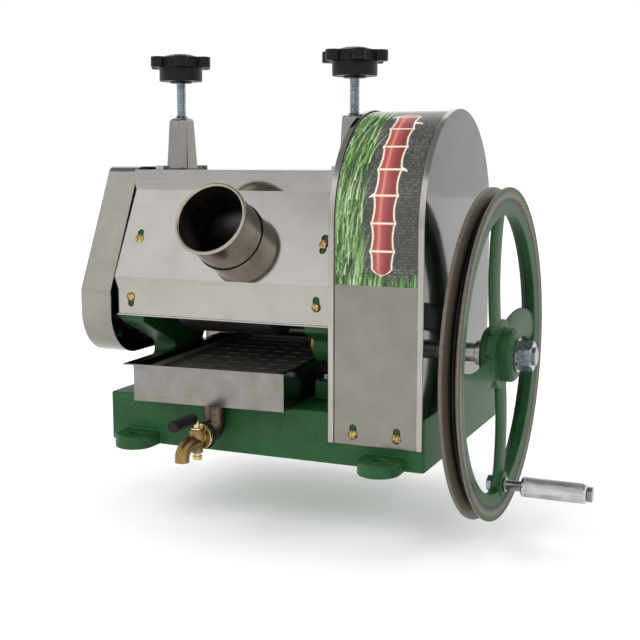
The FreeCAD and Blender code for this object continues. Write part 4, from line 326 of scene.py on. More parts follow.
# %% One recipe for metals
def worked_metal(name, light, dark, polish, lines, grain, wave=0.0, wave_size=90, blotch=30):
    """A metal with two near tones, a polish range, and fine lines stretched along the axis with the long size.

    polish is the lowest and highest roughness. The other sizes are in millimetres: lines is how long a line is
    along X, Y and Z, grain is its depth, wave and wave_size are the depth and the length of the sheet's slow
    waves, and blotch is how broad the lighter and darker places are."""
    material, tree = new_material(name)
    place = object_place(tree)
    stretch = add(tree, "ShaderNodeVectorMath", {1: tuple(1 / (size * MM) for size in lines)}, {0: place},
                  operation="MULTIPLY")
    scratch = add(tree, "ShaderNodeTexNoise", {"Scale": 1.0, "Detail": 3.0, "Roughness": 0.65},
                  {"Vector": stretch.outputs[0]})
    patch = add(tree, "ShaderNodeTexNoise", {"Scale": 1 / (blotch * MM), "Detail": 4.0, "Roughness": 0.6},
                {"Vector": place})
    mixed = add(tree, "ShaderNodeMix", {0: 0.35}, {2: patch.outputs["Fac"], 3: scratch.outputs["Fac"]})
    spread = add(tree, "ShaderNodeMapRange", {"From Min": 0.34, "From Max": 0.66}, {0: mixed.outputs[0]})
    tone = add(tree, "ShaderNodeMix", {6: linear(dark), 7: linear(light)}, {0: spread.outputs[0]},
               data_type="RGBA")
    rough = add(tree, "ShaderNodeMapRange", {"From Min": 0.3, "From Max": 0.7, "To Min": polish[0],
                                             "To Max": polish[1]}, {0: scratch.outputs["Fac"]})
    bump = add(tree, "ShaderNodeBump", {"Strength": 0.6, "Distance": grain * MM},
               {"Height": scratch.outputs["Fac"]})
    if wave:
        long_wave = add(tree, "ShaderNodeTexNoise", {"Scale": 1 / (wave_size * MM), "Detail": 1.0},
                        {"Vector": place})
        bump = add(tree, "ShaderNodeBump", {"Strength": 1.0, "Distance": wave * MM},
                   {"Height": long_wave.outputs["Fac"], "Normal": bump.outputs[0]})
    shader = add(tree, "ShaderNodeBsdfPrincipled", {"Metallic": 1.0},
                 {"Base Color": tone.outputs[2], "Roughness": rough.outputs[0], "Normal": bump.outputs[0]})
    add(tree, "ShaderNodeOutputMaterial", None, {"Surface": shader.outputs["BSDF"]})
    return material


print("recipe", worked_metal.__name__)

# %% Stainless sheet
# The front, top and rear are polished sheet with rolling lines along the machine.
polished_stainless = worked_metal("polished_stainless_sheet", "#A7A39F", "#9C9893", (0.07, 0.12),
                                  (80, 1.0, 1.0), 0.0012, wave=0.2)
# The gear cover and the screws' sleeves are bent from the same sheet, turned, so their lines run up and down.
cover_stainless = worked_metal("bent_stainless_sheet", "#928E89", "#84807B", (0.06, 0.1), (1.0, 80, 80), 0.001,
                               wave=0.3)
# The arch's strip was drawn through rollers, which leaves it less bright.
band_stainless = worked_metal("rolled_stainless_strip", "#87827D", "#7A7570", (0.14, 0.22), (1.0, 60, 60), 0.002,
                              wave=0.3)
# The arch's side plates are the smoothest sheet, coloured darker as painted shade for the dark things they mirror.
painted_shade_stainless = worked_metal("stainless_sheet_painted_shade", "#62605F", "#575554", (0.04, 0.08), (40, 40, 40), 0.001,
                                wave=0.3)
# Juice and washing have dulled the tray, and the strainer is duller still from its punching.
tray_stainless = worked_metal("dull_stainless_sheet", "#8B8783", "#77736E", (0.14, 0.22), (40, 1.5, 1.5), 0.004,
                              wave=0.4, blotch=18)
punched_stainless = worked_metal("punched_stainless_sheet", "#918C87", "#736F6A", (0.45, 0.58), (1.5, 40, 1.5),
                                 0.001, blotch=14)
# Welding heat left a brown cast on the feed tube. Its inside is rougher, and coloured much darker as painted shade.
browned_stainless = worked_metal("browned_stainless_tube", "#B0A89D", "#8F867A", (0.14, 0.24), (1.2, 40, 40),
                                 0.001, blotch=24)
tube_lining_painted_shade = worked_metal("tube_inside_painted_shade", "#62574D", "#3A322C", (0.3, 0.5), (2, 20, 20), 0.02)
print("stainless", len([material for material in bpy.data.materials if "stainless" in material.name]))

# %% Steel, bronze, plating and brass
# Shafts are turned bright, and the rollers are ground along their length so that they grip the cane.
turned_steel = worked_metal("turned_steel", "#A09F9D", "#73726F", (0.14, 0.3), (0.8, 12, 12), 0.01)
ground_roller_steel = worked_metal("ground_roller_steel", "#8C8884", "#615E5A", (0.3, 0.5), (60, 1, 1), 0.02)
# Cut teeth stay grey, and the outlet pipe is black pipe scratched down to the metal.
gear_steel = worked_metal("cut_gear_steel", "#6B6963", "#454340", (0.35, 0.55), (2, 2, 2), 0.02)
pipe_steel = worked_metal("scratched_steel_pipe", "#6A5E52", "#322C27", (0.24, 0.42), (6, 3, 3), 0.01, blotch=7)
# The bushes are sand-cast bronze, bored and oiled.
sand_bronze = worked_metal("bearing_bronze", "#B08A4F", "#86652F", (0.3, 0.5), (0.8, 8, 8), 0.02)
# Bolts and nuts have blue zinc, pale and cold, and the sheet screws yellow zinc, gold and patchy.
zinc_plate = worked_metal("blue_zinc_plated_steel", "#AEB7BD", "#808A91", (0.18, 0.32), (2, 2, 2), 0.01, blotch=6)
yellow_zinc = worked_metal("yellow_zinc_plated_steel", "#DCC686", "#A58B58", (0.22, 0.4), (2, 2, 2), 0.01,
                           blotch=4)
# Chrome on the grip is the brightest metal here; the light and dark streaks along it are painted reflection.
chrome_painted_reflection = worked_metal("chrome_steel_painted_reflection", "#EEEFEE", "#54575A", (0.06, 0.18), (40, 1.3, 1.3), 0.004,
                            blotch=45)
# The tap's body keeps its cast skin, brown and soft; its plug and flange are turned and pale.
cast_brass = worked_metal("cast_brass", "#9C8055", "#665334", (0.24, 0.4), (3, 3, 3), 0.03, blotch=8)
turned_brass = worked_metal("turned_brass", "#E2D4AE", "#C2AC7A", (0.16, 0.28), (0.8, 6, 6), 0.006, blotch=8)
print("materials so far", len(bpy.data.materials))

# %% [markdown]
# ## Plastics
# The star knobs are pressed phenolic, which is nearly black, hard and half glossy, with fine pores. The tap's
# lever wears a dipped vinyl sleeve, a little paler and smoother.

# %% Plastics
PLASTIC_PATCH = 9 * MM
PLASTIC_PORE = 0.9 * MM   # coarser than the real pores, so that they show


def moulded_plastic(name, light, dark, gloss, pore):
    """A dark moulded plastic: near-black tones, a satin skin, and pores as deep as pore in millimetres."""
    material, tree = new_material(name)
    place = object_place(tree)
    broad = add(tree, "ShaderNodeTexNoise", {"Scale": 1 / PLASTIC_PATCH, "Detail": 4.0}, {"Vector": place})
    tone = add(tree, "ShaderNodeMix", {6: linear(dark), 7: linear(light)}, {0: broad.outputs["Fac"]},
               data_type="RGBA")
    fine = add(tree, "ShaderNodeTexNoise", {"Scale": 1 / PLASTIC_PORE, "Detail": 2.0}, {"Vector": place})
    sheen = add(tree, "ShaderNodeMapRange", {"To Min": gloss, "To Max": gloss + 0.2}, {0: broad.outputs["Fac"]})
    bump = add(tree, "ShaderNodeBump", {"Strength": 0.4, "Distance": pore * MM}, {"Height": fine.outputs["Fac"]})
    shader = add(tree, "ShaderNodeBsdfPrincipled", {"IOR": 1.5, "Specular IOR Level": 0.22},
                 {"Base Color": tone.outputs[2], "Roughness": sheen.outputs[0], "Normal": bump.outputs[0]})
    add(tree, "ShaderNodeOutputMaterial", None, {"Surface": shader.outputs["BSDF"]})
    return material


black_phenolic = moulded_plastic("pressed_phenolic", "#0A0A0C", "#040405", 0.34, 0.03)
black_vinyl = moulded_plastic("dipped_vinyl", "#17171B", "#0B0B0E", 0.32, 0.02)
print("plastics", black_phenolic.name, black_vinyl.name)

# %% [markdown]
# ## Dressing the solids
# A real casting or folded sheet has no knife edges. Each visible solid is copied, its loose triangles merged and
# its flat faces joined, and a small bevel rounds its sharp edges, wide on castings and narrow on sheet. Normals
# weighted by face area keep the flats flat, so that a mirror finish shows no false waves. The copy stands for
# its node. Nodes that hardly anybody sees from outside keep their own mesh and only get a finish.

# %% Which finish goes where
BODY_OF = {node: body for body, members in frame["record"]["behaviour"]["bodies"].items() for node in members}
SLOT_OF = {part["node"]: part["material_slot"] for part in frame["record"]["subparts"]}
FINISH = {"green_enamel": green_enamel, "wheel_green": wheel_enamel, "stainless": polished_stainless,
          "roller_steel": ground_roller_steel, "gear_steel": gear_steel, "bronze": sand_bronze,
          "zinc": zinc_plate, "yellow_zinc": yellow_zinc, "black_bakelite": black_phenolic,
          "chrome": chrome_painted_reflection, "tap_brass": cast_brass, "black_vinyl": black_vinyl}
# These nodes have a finish of their own, finer than their slot's.
BETTER = {"left_gear_cover": cover_stainless, "left_screw_sleeve": cover_stainless,
          "right_screw_sleeve": cover_stainless, "arch_outer_plate": painted_shade_stainless,
          "arch_inner_plate": painted_shade_stainless, "arch_band": band_stainless,
          "juice_tray": tray_stainless, "strainer_plate": punched_stainless, "tap_nipple": pipe_steel,
          "tap_plug": turned_brass, "crank_shaft": turned_steel, "shaft_collar": turned_steel,
          "handle_spindle": turned_steel, "hub_washer": turned_steel, "return_plate": tray_stainless}
print("slots", len(FINISH), "finer finishes", len(BETTER))

# %% A copy with softened edges
MERGE_WITHIN = 0.002 * MM
FLAT_WITHIN = math.radians(0.6)
SHARP_OVER = math.radians(24)   # just under the sheets' shallowest fold, so that a fold gets its bevel
BEVEL_STEPS = 2


def stands_for(piece, node, material):
    """The piece takes the node's place and body, and gets the finish given."""
    if not piece.data.materials:
        piece.data.materials.append(material)
    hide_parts(node)
    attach(piece, BODY_OF[node])
    return piece


def dressed(node, material, bevel):
    """A merged copy of a node's mesh with its flat faces joined and its sharp edges bevelled.

    bevel is the rounding's width in millimetres, or 0 to leave the edges sharp."""
    mesh = NODES[node].data.copy()
    mesh.name = node + "_dressed"
    mesh.materials.clear()
    work = bmesh.new()
    work.from_mesh(mesh)
    bmesh.ops.remove_doubles(work, verts=work.verts, dist=MERGE_WITHIN)
    bmesh.ops.dissolve_limit(work, angle_limit=FLAT_WITHIN, verts=work.verts, edges=work.edges)
    work.to_mesh(mesh)
    work.free()
    mesh.polygons.foreach_set("use_smooth", np.ones(len(mesh.polygons), bool))
    piece = bpy.data.objects.new(node + "_dressed", mesh)
    scene.collection.objects.link(piece)
    if bevel:
        rounding = piece.modifiers.new("rounding", "BEVEL")
        rounding.width = bevel * MM
        rounding.segments = BEVEL_STEPS
        rounding.limit_method = "ANGLE"
        rounding.angle_limit = SHARP_OVER
        rounding.use_clamp_overlap = False
        levelled = piece.modifiers.new("levelled", "WEIGHTED_NORMAL")
        levelled.keep_sharp = True
    else:
        mesh.set_sharp_from_angle(angle=SHARP_OVER)
    return stands_for(piece, node, material)


print("edges sharper than", round(math.degrees(SHARP_OVER)), "degrees get a bevel")

# %% Dressed copies
# Each node has its bevel's width in millimetres. The strainer has none, because its slots are too many.
DRESS = {
    "base_casting": 1.4, "left_side_frame": 1.6, "right_side_frame": 1.6, "frame_foot_bolts": 0.6,
    "left_bearing_cap": 0.8, "right_bearing_cap": 0.8, "cap_bolts": 0.5, "front_plate": 0.2, "rear_plate": 0.2,
    "top_plate": 0.2, "discharge_chute": 0.2, "left_gear_cover": 0.25, "arch_inner_plate": 0.6,
    "arch_outer_plate": 0.6, "arch_band": 0.15, "left_screw_sleeve": 3.2, "right_screw_sleeve": 3.2,
    "crank_shaft": 0.5, "shaft_collar": 0.6, "crank_wheel": 0.9, "hub_washer": 0.2,
    "handle_spindle": 0.5, "left_star_knob": 0.8, "right_star_knob": 0.8, "tie_rod_nuts": 0.4,
    "juice_tray": 0.2, "strainer_plate": 0, "tap_nipple": 0.3, "tap_gasket": 0.3, "tap_body": 0.4,
    "tap_plug": 0.3, "tap_plug_nut": 0.4, "lever_grip": 1.2, "sheet_screws": 0.3, "front_roller": 0.5,
    "rear_roller": 0.5, "top_roller": 0.5,
}
MADE = ("left_adjusting_screw", "right_adjusting_screw", "feed_tube", "handle_grip", "hub_nut", "handle_nut")

for node, bevel in DRESS.items():
    dressed(node, BETTER.get(node, FINISH[SLOT_OF[node]]), bevel)
for node, solid in NODES.items():
    if node not in DRESS and node not in MADE:
        solid.data.materials.clear()
        solid.data.materials.append(BETTER.get(node, FINISH[SLOT_OF[node]]))
print("dressed", len(DRESS), "made", len(MADE), "plain", len(NODES) - len(DRESS) - len(MADE))

# %% [markdown]
# ## Two finishes on one piece
# Some pieces show two finishes. The arch's side plates end in a narrow bent rim, as bright as the front plate, and
# the tap is cast, but its flange is turned. The faces are told apart by measuring them: the rim's faces don't
# face along X, and the flange's faces lie within its thickness of the gasket, measured along the gasket's thin
# direction, which is its smallest principal axis.

# %% The arch's polished rims
# The plates' own faces keep their painted shade; only the rim's faces get the plain polished colour.
for node in ("arch_outer_plate", "arch_inner_plate"):
    rim = bpy.data.objects[node + "_dressed"].data
    rim.materials.append(polished_stainless)
    facing = np.empty(len(rim.polygons) * 3)
    rim.polygons.foreach_get("normal", facing)
    on_rim = np.abs(facing[::3]) < 0.5
    rim.polygons.foreach_set("material_index", on_rim.astype(np.int32))
    print(node, "rim faces", int(on_rim.sum()), "of", len(on_rim))


# %% The tap's turned flange
def node_points(node):
    """The corner points of a CAD node in metres."""
    mesh = NODES[node].data
    points = np.empty(len(mesh.vertices) * 3)
    mesh.vertices.foreach_get("co", points)
    return points.reshape(-1, 3)


TAP_FLANGE = 5.2 * MM
gasket = node_points("tap_gasket")
gasket_middle = (gasket.min(0) + gasket.max(0)) / 2
thin = np.linalg.svd(gasket - gasket.mean(0), full_matrices=False)[2][2]
tap = bpy.data.objects["tap_body_dressed"].data
tap.materials.append(turned_brass)
centres = np.empty(len(tap.polygons) * 3)
tap.polygons.foreach_get("center", centres)
near_gasket = np.abs((centres.reshape(-1, 3) - gasket_middle) @ thin) < TAP_FLANGE
tap.polygons.foreach_set("material_index", near_gasket.astype(np.int32))
print("flange faces", int(near_gasket.sum()), "of", len(near_gasket))

# %% [markdown]
# ## Rear apron that makes shade
# Behind the mill a bare strip of sheet hangs from the rear plate's lower edge. It is there to make the shade
# behind the rollers, where the bright backdrop would otherwise show through. It is a flat grid with a hem curled
# along its lower edge: one parameter runs along the strip, the other down it and round the hem. Solidify gives it
# the sheet's thickness.

# %% Rear apron that makes shade
APRON_LOW = 58 * MM
APRON_LAP = 4 * MM       # how far it reaches up inside the rear plate
APRON_INSET = 2.4 * MM   # how far it lies inside the rear plate's face
APRON_MARGIN = 1 * MM    # how far it ends short of the rear plate's sides
APRON_SHEET = 0.8 * MM
HEM_RADIUS = 1.5 * MM
HEM_TURN = 1.2 * np.pi
DOWN_STEPS, HEM_STEPS, SPAN_STEPS = 9, 12, 24

low, high = (np.array(corner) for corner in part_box("rear_plate"))
down = np.linspace(low[2] + APRON_LAP, APRON_LOW + HEM_RADIUS, DOWN_STEPS)
curl = np.linspace(0, HEM_TURN, HEM_STEPS)[1:]
side_y = np.concatenate([np.zeros(DOWN_STEPS), -HEM_RADIUS + HEM_RADIUS * np.cos(curl)])
side_z = np.concatenate([down, APRON_LOW + HEM_RADIUS - HEM_RADIUS * np.sin(curl)])
span = np.linspace(low[0] + APRON_MARGIN, high[0] - APRON_MARGIN, SPAN_STEPS)
X, N = np.meshgrid(span, np.arange(len(side_y)))
apron_points = np.stack([X, high[1] - APRON_INSET + side_y[N], side_z[N]], axis=-1).reshape(-1, 3)
cell = np.arange(X.size).reshape(X.shape)
apron_quads = np.stack([cell[:-1, 1:], cell[:-1, :-1], cell[1:, :-1], cell[1:, 1:]], axis=-1).reshape(-1, 4)
apron_mesh = bpy.data.meshes.new("rear_shade_apron")
apron_mesh.from_pydata(apron_points.tolist(), [], apron_quads.tolist())
apron_mesh.polygons.foreach_set("use_smooth", np.ones(len(apron_quads), bool))
apron_mesh.materials.append(tray_stainless)
apron = bpy.data.objects.new("rear_shade_apron", apron_mesh)
scene.collection.objects.link(apron)
thick = apron.modifiers.new("sheet", "SOLIDIFY")
thick.thickness = APRON_SHEET
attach(apron, "machine")
print("apron", [round(part, 4) for part in low], [round(part, 4) for part in high])

# %% [markdown]
# ## Surfaces from rings
# Threads, knurling, rolled rims and nuts are all one kind of surface: a ring of points that changes along an
# axis. The points come from one formula of the angle and the step, worked out for the whole grid at once. A
# helper joins neighbouring rings with quads and closes the two ends; the volume's sign says whether the faces
# point outwards.

# %% Rings to a mesh
def ringed(name, rings, node, materials, inside=(), loop=False):
    """A closed surface from rings of points, given as an array of rings x points x 3.

    Face (i, j) joins points j and j + 1 of rings i and i + 1. The ends are closed by one flat face each, or the
    last ring joins the first where loop is set. Faces that start on the rings in inside get the second material."""
    count, around = rings.shape[:2]
    index = np.arange(count * around).reshape(count, around)
    if loop:
        index = np.vstack([index, index[:1]])
    lower, upper = index[:-1], index[1:]
    quads = np.stack([lower, np.roll(lower, -1, 1), np.roll(upper, -1, 1), upper], axis=-1).reshape(-1, 4)
    points = rings.reshape(-1, 3)
    corner = points[quads]
    volume = np.einsum("ij,ij->i", corner[:, 0], np.cross(corner[:, 1], corner[:, 2])).sum()
    volume += np.einsum("ij,ij->i", corner[:, 0], np.cross(corner[:, 2], corner[:, 3])).sum()
    caps = [] if loop else [index[0][::-1], index[-1]]
    for cap in caps:
        middle = points[cap].mean(0)
        volume += np.einsum("ij,ij->i", points[cap], np.cross(points[np.roll(cap, -1)], middle[None])).sum()
    faces = quads.tolist() + [cap.tolist() for cap in caps]
    if volume < 0:
        faces = [face[::-1] for face in faces]
    mesh = bpy.data.meshes.new(name)
    mesh.from_pydata(points.tolist(), [], faces)
    shade = np.ones(len(faces), bool)
    shade[len(quads):] = False
    mesh.polygons.foreach_set("use_smooth", shade)
    for material in materials:
        mesh.materials.append(material)
    if len(inside):
        marks = np.zeros(len(faces), np.int32)
        marks[:len(quads)] = np.repeat(np.isin(np.arange(len(index) - 1), inside), around)
        mesh.polygons.foreach_set("material_index", marks)
    piece = bpy.data.objects.new(name, mesh)
    scene.collection.objects.link(piece)
    print(name, len(faces), "faces")
    return stands_for(piece, node, materials[0])


def turns(count):
    """Angles once round, without the last that would repeat the first."""
    return np.arange(count) * 2 * np.pi / count


print("a ring of six points has a step of", round(math.degrees(turns(6)[1])), "degrees")

# %% [markdown]
# ## Adjusting screws
# The two M10 screws are cut with a 1.5 mm thread from end to end. The radius falls and rises linearly along one
# pitch, with narrow flats at the crest and the root, and the wave's start moves by one pitch per turn, which
# makes the helix. Near the ends a cone cuts the thread away.

# %% Threaded screws
THREAD_PITCH = 1.5 * MM
THREAD_DEPTH = 0.8 * MM
THREAD_CHAMFER = 1.2 * MM
STEPS_PER_PITCH = 6
SCREW_AROUND = 28

for side in ("left", "right"):
    low, high = (np.array(corner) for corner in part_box(side + "_adjusting_screw"))
    middle = (low + high) / 2
    outer = (high[0] - low[0]) / 2
    height = np.arange(low[2], high[2], THREAD_PITCH / STEPS_PER_PITCH)
    height = np.append(height, high[2])[:, None]
    angle = turns(SCREW_AROUND)[None]
    wave = np.abs(((height / THREAD_PITCH - angle / (2 * np.pi)) % 1) * 2 - 1)
    radius = outer - THREAD_DEPTH * np.clip(wave * 1.3 - 0.15, 0, 1)
    to_end = np.minimum(height - low[2], high[2] - height)
    radius = np.minimum(radius, outer - THREAD_CHAMFER + to_end)
    rings = np.stack([middle[0] + radius * np.cos(angle), middle[1] + radius * np.sin(angle),
                      height + 0 * angle], axis=-1)
    ringed(side + "_threaded_screw", rings, side + "_adjusting_screw", [zinc_plate])

# %% [markdown]
# ## Feed tube
# The cane goes in through a short length of drawn stainless tube. Its mouth is rolled outwards to a bead, and
# behind the panel it ends in a flange. The wall is one closed profile turned round the tube's axis; the inner
# wall gets its own finish, rougher and much darker: painted shade for the inside of the tube.

# %% Feed tube, its profile
TUBE_AXIS = np.array((0.0, -0.89657, 0.44290))     # square to the sloped front, out of the machine
TUBE_ACROSS = np.array((0.0, 0.44290, 0.89657))    # up the sloped front
TUBE_RADIUS = 34 * MM
TUBE_WALL = 1.5 * MM
TUBE_BEAD = 2 * MM
TUBE_FLANGE = 7 * MM
BARREL_STEPS, BEAD_STEPS, TUBE_AROUND = 12, 16, 112

tube = node_points("feed_tube")
along = tube @ TUBE_AXIS
across = tube @ TUBE_ACROSS
near, far = along.min(), along.max()
outside = np.array([(near, TUBE_RADIUS - TUBE_WALL), (near, TUBE_RADIUS + TUBE_FLANGE),
                    (near + TUBE_WALL, TUBE_RADIUS + TUBE_FLANGE), (near + TUBE_WALL, TUBE_RADIUS + 0.4 * MM)])
barrel = np.column_stack([np.linspace(near + 2.2 * MM, far - 2.1 * TUBE_BEAD, BARREL_STEPS),
                          np.full(BARREL_STEPS, TUBE_RADIUS)])
turned = np.linspace(0, 1.5 * np.pi, BEAD_STEPS)
bead = np.column_stack([far - TUBE_BEAD + TUBE_BEAD * np.sin(turned - np.pi / 2),
                        TUBE_RADIUS + TUBE_BEAD * np.cos(turned - np.pi / 2)])
lining = np.column_stack([np.linspace(far - 1.5 * TUBE_BEAD, near + 0.3 * MM, BARREL_STEPS),
                          np.full(BARREL_STEPS, TUBE_RADIUS - TUBE_WALL)])
profile = np.vstack([outside, barrel, bead, lining])
print("tube", len(profile), "profile points, length", round(float(far - near), 4))

# %% Feed tube, its surface
heart = (np.array((tube[:, 0].min() + tube[:, 0].max(), 0, 0)) / 2
         + TUBE_ACROSS * (across.min() + across.max()) / 2)
angle = turns(TUBE_AROUND)[None, :, None]
rings = (heart + profile[:, 0][:, None, None] * TUBE_AXIS
         + profile[:, 1][:, None, None] * (np.cos(angle) * np.array((1.0, 0, 0)) + np.sin(angle) * TUBE_ACROSS))
first_inside = len(profile) - len(lining) - 2
ringed("rolled_feed_tube", rings, "feed_tube", [browned_stainless, tube_lining_painted_shade],
       inside=np.arange(first_inside, len(profile)), loop=True)

# %% [markdown]
# ## Knurled grip
# The crank's grip is a chromed sleeve with a diamond knurl, cut by two rollers whose lines cross. The depth is
# the deeper of two waves that run round the sleeve in opposite turns. The real knurl has a line each 0.8 mm; it
# is drawn at 1.4 mm, as coarse as it needs to be to show.

# %% Knurled grip
KNURL_STARTS = 40
KNURL_DEPTH = 0.4 * MM
KNURL_SLOPE = 1.7           # how many times longer a diamond is along the grip than round it
PLAIN_END = 2.5 * MM        # the sleeve's ends stay plain
PLAIN_FADE = 1 * MM
GRIP_CHAMFER = 0.9 * MM
GRIP_ALONG, GRIP_AROUND = 210, 200

low, high = (np.array(corner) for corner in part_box("handle_grip"))
middle = (low + high) / 2
outer = (high[2] - low[2]) / 2
length = np.linspace(low[0], high[0], GRIP_ALONG)[:, None]
angle = turns(GRIP_AROUND)[None]
lead = 2 * np.pi * outer / KNURL_STARTS * KNURL_SLOPE
waves = [np.abs((KNURL_STARTS * angle / (2 * np.pi) + way * length / lead) % 1 * 2 - 1) for way in (1, -1)]
from_end = np.minimum(length - low[0], high[0] - length)
cut = np.clip((from_end - PLAIN_END) / PLAIN_FADE, 0, 1)
radius = outer - KNURL_DEPTH * np.maximum(*waves) ** 3 * cut
radius = np.minimum(radius, outer - GRIP_CHAMFER + from_end)
rings = np.stack([length + 0 * angle, middle[1] + radius * np.cos(angle), middle[2] + radius * np.sin(angle)],
                 axis=-1)
ringed("knurled_grip", rings, "handle_grip", [chrome_painted_reflection])

# %% [markdown]
# ## Hexagon nuts
# A nut is a hexagonal bar whose corners are turned off by a cone at each end, so each corner ends in a small
# curve. That is the smaller of two radii: the hexagon's, which depends on the angle, and the cone's, which
# depends on the distance to the nut's end.

# %% Nuts
CONE_START = 0.9      # the cone's radius at the nut's end, as a share of the corners' radius
CONE_RISE = 1.1       # how much the cone's radius grows for each unit away from the end
NUT_AROUND = 96


def hexagon_nut(name, node, material):
    """A nut round the X axis with the node's place, height and corners, as the smaller of hexagon and cone."""
    low, high = (np.array(corner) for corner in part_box(node))
    middle = (low + high) / 2
    spread = node_points(node)[:, 1:] - middle[1:]
    reach = np.hypot(spread[:, 0], spread[:, 1])
    corner = spread[reach.argmax()]
    start = math.atan2(corner[1], corner[0])
    height = high[0] - low[0]
    parts = np.concatenate([np.linspace(0, 0.22, 9), np.linspace(0.3, 0.7, 3), np.linspace(0.78, 1, 9)])
    length = (low[0] + height * parts)[:, None]
    angle = turns(NUT_AROUND)[None]
    sector = (angle - start) % (np.pi / 3) - np.pi / 6
    hexagon = reach.max() * math.cos(math.pi / 6) / np.cos(sector)
    to_end = np.minimum(length - low[0], high[0] - length)
    radius = np.minimum(hexagon, reach.max() * CONE_START + to_end * CONE_RISE)
    rings = np.stack([length + 0 * angle, middle[1] + radius * np.cos(angle),
                      middle[2] + radius * np.sin(angle)], axis=-1)
    piece = ringed(name, rings, node, [material])
    piece.data.set_sharp_from_angle(angle=SHARP_OVER)
    return piece


hexagon_nut("wheel_nut", "hub_nut", zinc_plate)
hexagon_nut("spindle_nut", "handle_nut", zinc_plate)

# %% [markdown]
# ## The printed film on the arched cover
# The arch wears a laminated vinyl print that runs up the front and nearly to the crown: grass along the left and
# lower edges, a charcoal field with pale rows of dashes, and a stalk of cane. The film is its own thin surface, laid
# along the arch: one parameter runs across it and one along the metal's own length. The picture is drawn as a
# colour at each point, from formulas in millimetres, and kept as an attribute that the material reads.

# %% Printed film, its shape
# All sizes of the film and its picture are in millimetres. S runs along the metal, from 0 where the arch begins
# to bend, so that the straight front is below 0 and the bend above.
FILM_LEFT, FILM_RIGHT = 76.8, 152.2
FILM_LOW, FILM_HIGH = -48.0, 142.0
ARCH_Y, ARCH_Z = -20.0, 210.0       # the middle of the arch's bend
FILM_RADIUS = 104.32
FILM_THICKNESS = 0.1
POINTS_ACROSS, POINTS_ALONG = 126, 316

across = np.linspace(FILM_LEFT, FILM_RIGHT, POINTS_ACROSS)
along = np.linspace(FILM_LOW, FILM_HIGH, POINTS_ALONG)
X, S = np.meshgrid(across, along)
bow = np.clip(S, 0, None) / FILM_RADIUS
Y = ARCH_Y - FILM_RADIUS * np.cos(bow)
Z = ARCH_Z + np.where(S < 0, S, FILM_RADIUS * np.sin(bow))
film_points = np.stack([X, Y, Z], axis=-1).reshape(-1, 3) * MM
cell = np.arange(X.size).reshape(X.shape)
film_quads = np.stack([cell[:-1, :-1], cell[:-1, 1:], cell[1:, 1:], cell[1:, :-1]], axis=-1).reshape(-1, 4)
print("film", len(film_points), "points")

# %% Helpers for the picture
def blended(base, top, amount):
    """The base colours with the top colour laid over them by amount, from 0 to 1."""
    amount = np.clip(amount, 0, 1)[..., None]
    return base * (1 - amount) + np.array(linear(top)[:3]) * amount


def soft_step(value, edge, width):
    """0 below the edge and 1 above it, with a smooth change of the given width."""
    part = np.clip((value - edge) / width + 0.5, 0, 1)
    return part * part * (3 - 2 * part)


def scatter(first, second, seed):
    """A repeatable number from 0 to 1 for each pair of whole numbers: the fraction of a large sine."""
    return np.abs(np.sin(first * 127.1 + second * 311.7 + seed * 74.7) * 43758.5453) % 1


print("a soft step at its edge is", float(soft_step(0.0, 0.0, 1.0)))

# %% The picture's field of dashes
CHARCOAL = "#373735"
DASH_TONE = "#8E8C86"
ROW_STEP = 2.6
ROW_LIT = 0.42        # the share of a row that its dashes fill
DASH_STEP = 1.2
BAND_STEP = 31        # the rows are brighter and dimmer in bands of this height

U = X - FILM_LEFT
colours = np.zeros(X.shape + (3,)) + np.array(linear(CHARCOAL)[:3])
row = np.floor(S / ROW_STEP)
dash = scatter(np.floor(U / (DASH_STEP + 0.5 * scatter(row, row * 0, 5))), row, 1) > 0.5
lit_row = (S / ROW_STEP) % 1 < ROW_LIT
band = 0.4 + 0.6 * scatter(np.floor(S / BAND_STEP), row * 0, 2)
colours = blended(colours, DASH_TONE, 0.5 * dash * lit_row * band)
print("rows of dashes", int((FILM_HIGH - FILM_LOW) / ROW_STEP))

# %% The picture's grass
# A blade is a curve across the film that is thickest at its foot: its middle line leans more the higher it goes.
GRASS_TONES = ("#17300F", "#28501E", "#41702F", "#5F8C48", "#86AC68", "#B9CFA0")
GRASS_WIDTH = 25
EDGE_BLADES, FOOT_BLADES = 620, 70
picker = np.random.default_rng(7)
colours = blended(colours, GRASS_TONES[0], soft_step(GRASS_WIDTH - U + 3 * np.sin(S / 9), 0, 6))
for blade in range(EDGE_BLADES):
    root = picker.uniform(-4, GRASS_WIDTH)
    foot = picker.uniform(FILM_LOW - 20, FILM_HIGH)
    tall = picker.uniform(18, 46)
    lean = picker.uniform(-0.12, 0.34)
    thick = picker.uniform(0.25, 0.8)
    part = (S - foot) / tall
    line = root + lean * (S - foot) * part
    body = soft_step(thick * (1 - part) - np.abs(U - line), 0, 0.5) * (part > 0) * (part < 1)
    colours = blended(colours, GRASS_TONES[blade % len(GRASS_TONES)], body * 0.85)
for blade in range(FOOT_BLADES):
    root = picker.uniform(20, 76)
    lean = picker.uniform(-0.3, 0.3)
    tall = picker.uniform(6, 15)
    part = (S - FILM_LOW) / tall
    line = root + lean * (S - FILM_LOW) * part
    body = soft_step(picker.uniform(0.7, 1.6) * (1 - part) - np.abs(U - line), 0, 0.6) * (part < 1)
    colours = blended(colours, GRASS_TONES[blade % 5], body)
print("blades", EDGE_BLADES + FOOT_BLADES)

# %% The picture's stalk and leaves
# The stalk swells at its joints and is cut off round at both ends. A lighter streak on its left and a darker
# side on its right make it look round.
STALK_MIDDLE = 44.0
STALK_HALF = 8.6
STALK_LOW, STALK_HIGH = -38, 132
JOINT_STEP = 24.0
PITH = "#E6DCC4"
# Each leaf is its side, the height of its foot and its reach.
LEAVES = ((1, 104, 17), (-1, 118, 15), (1, 46, 16), (-1, 22, 15))

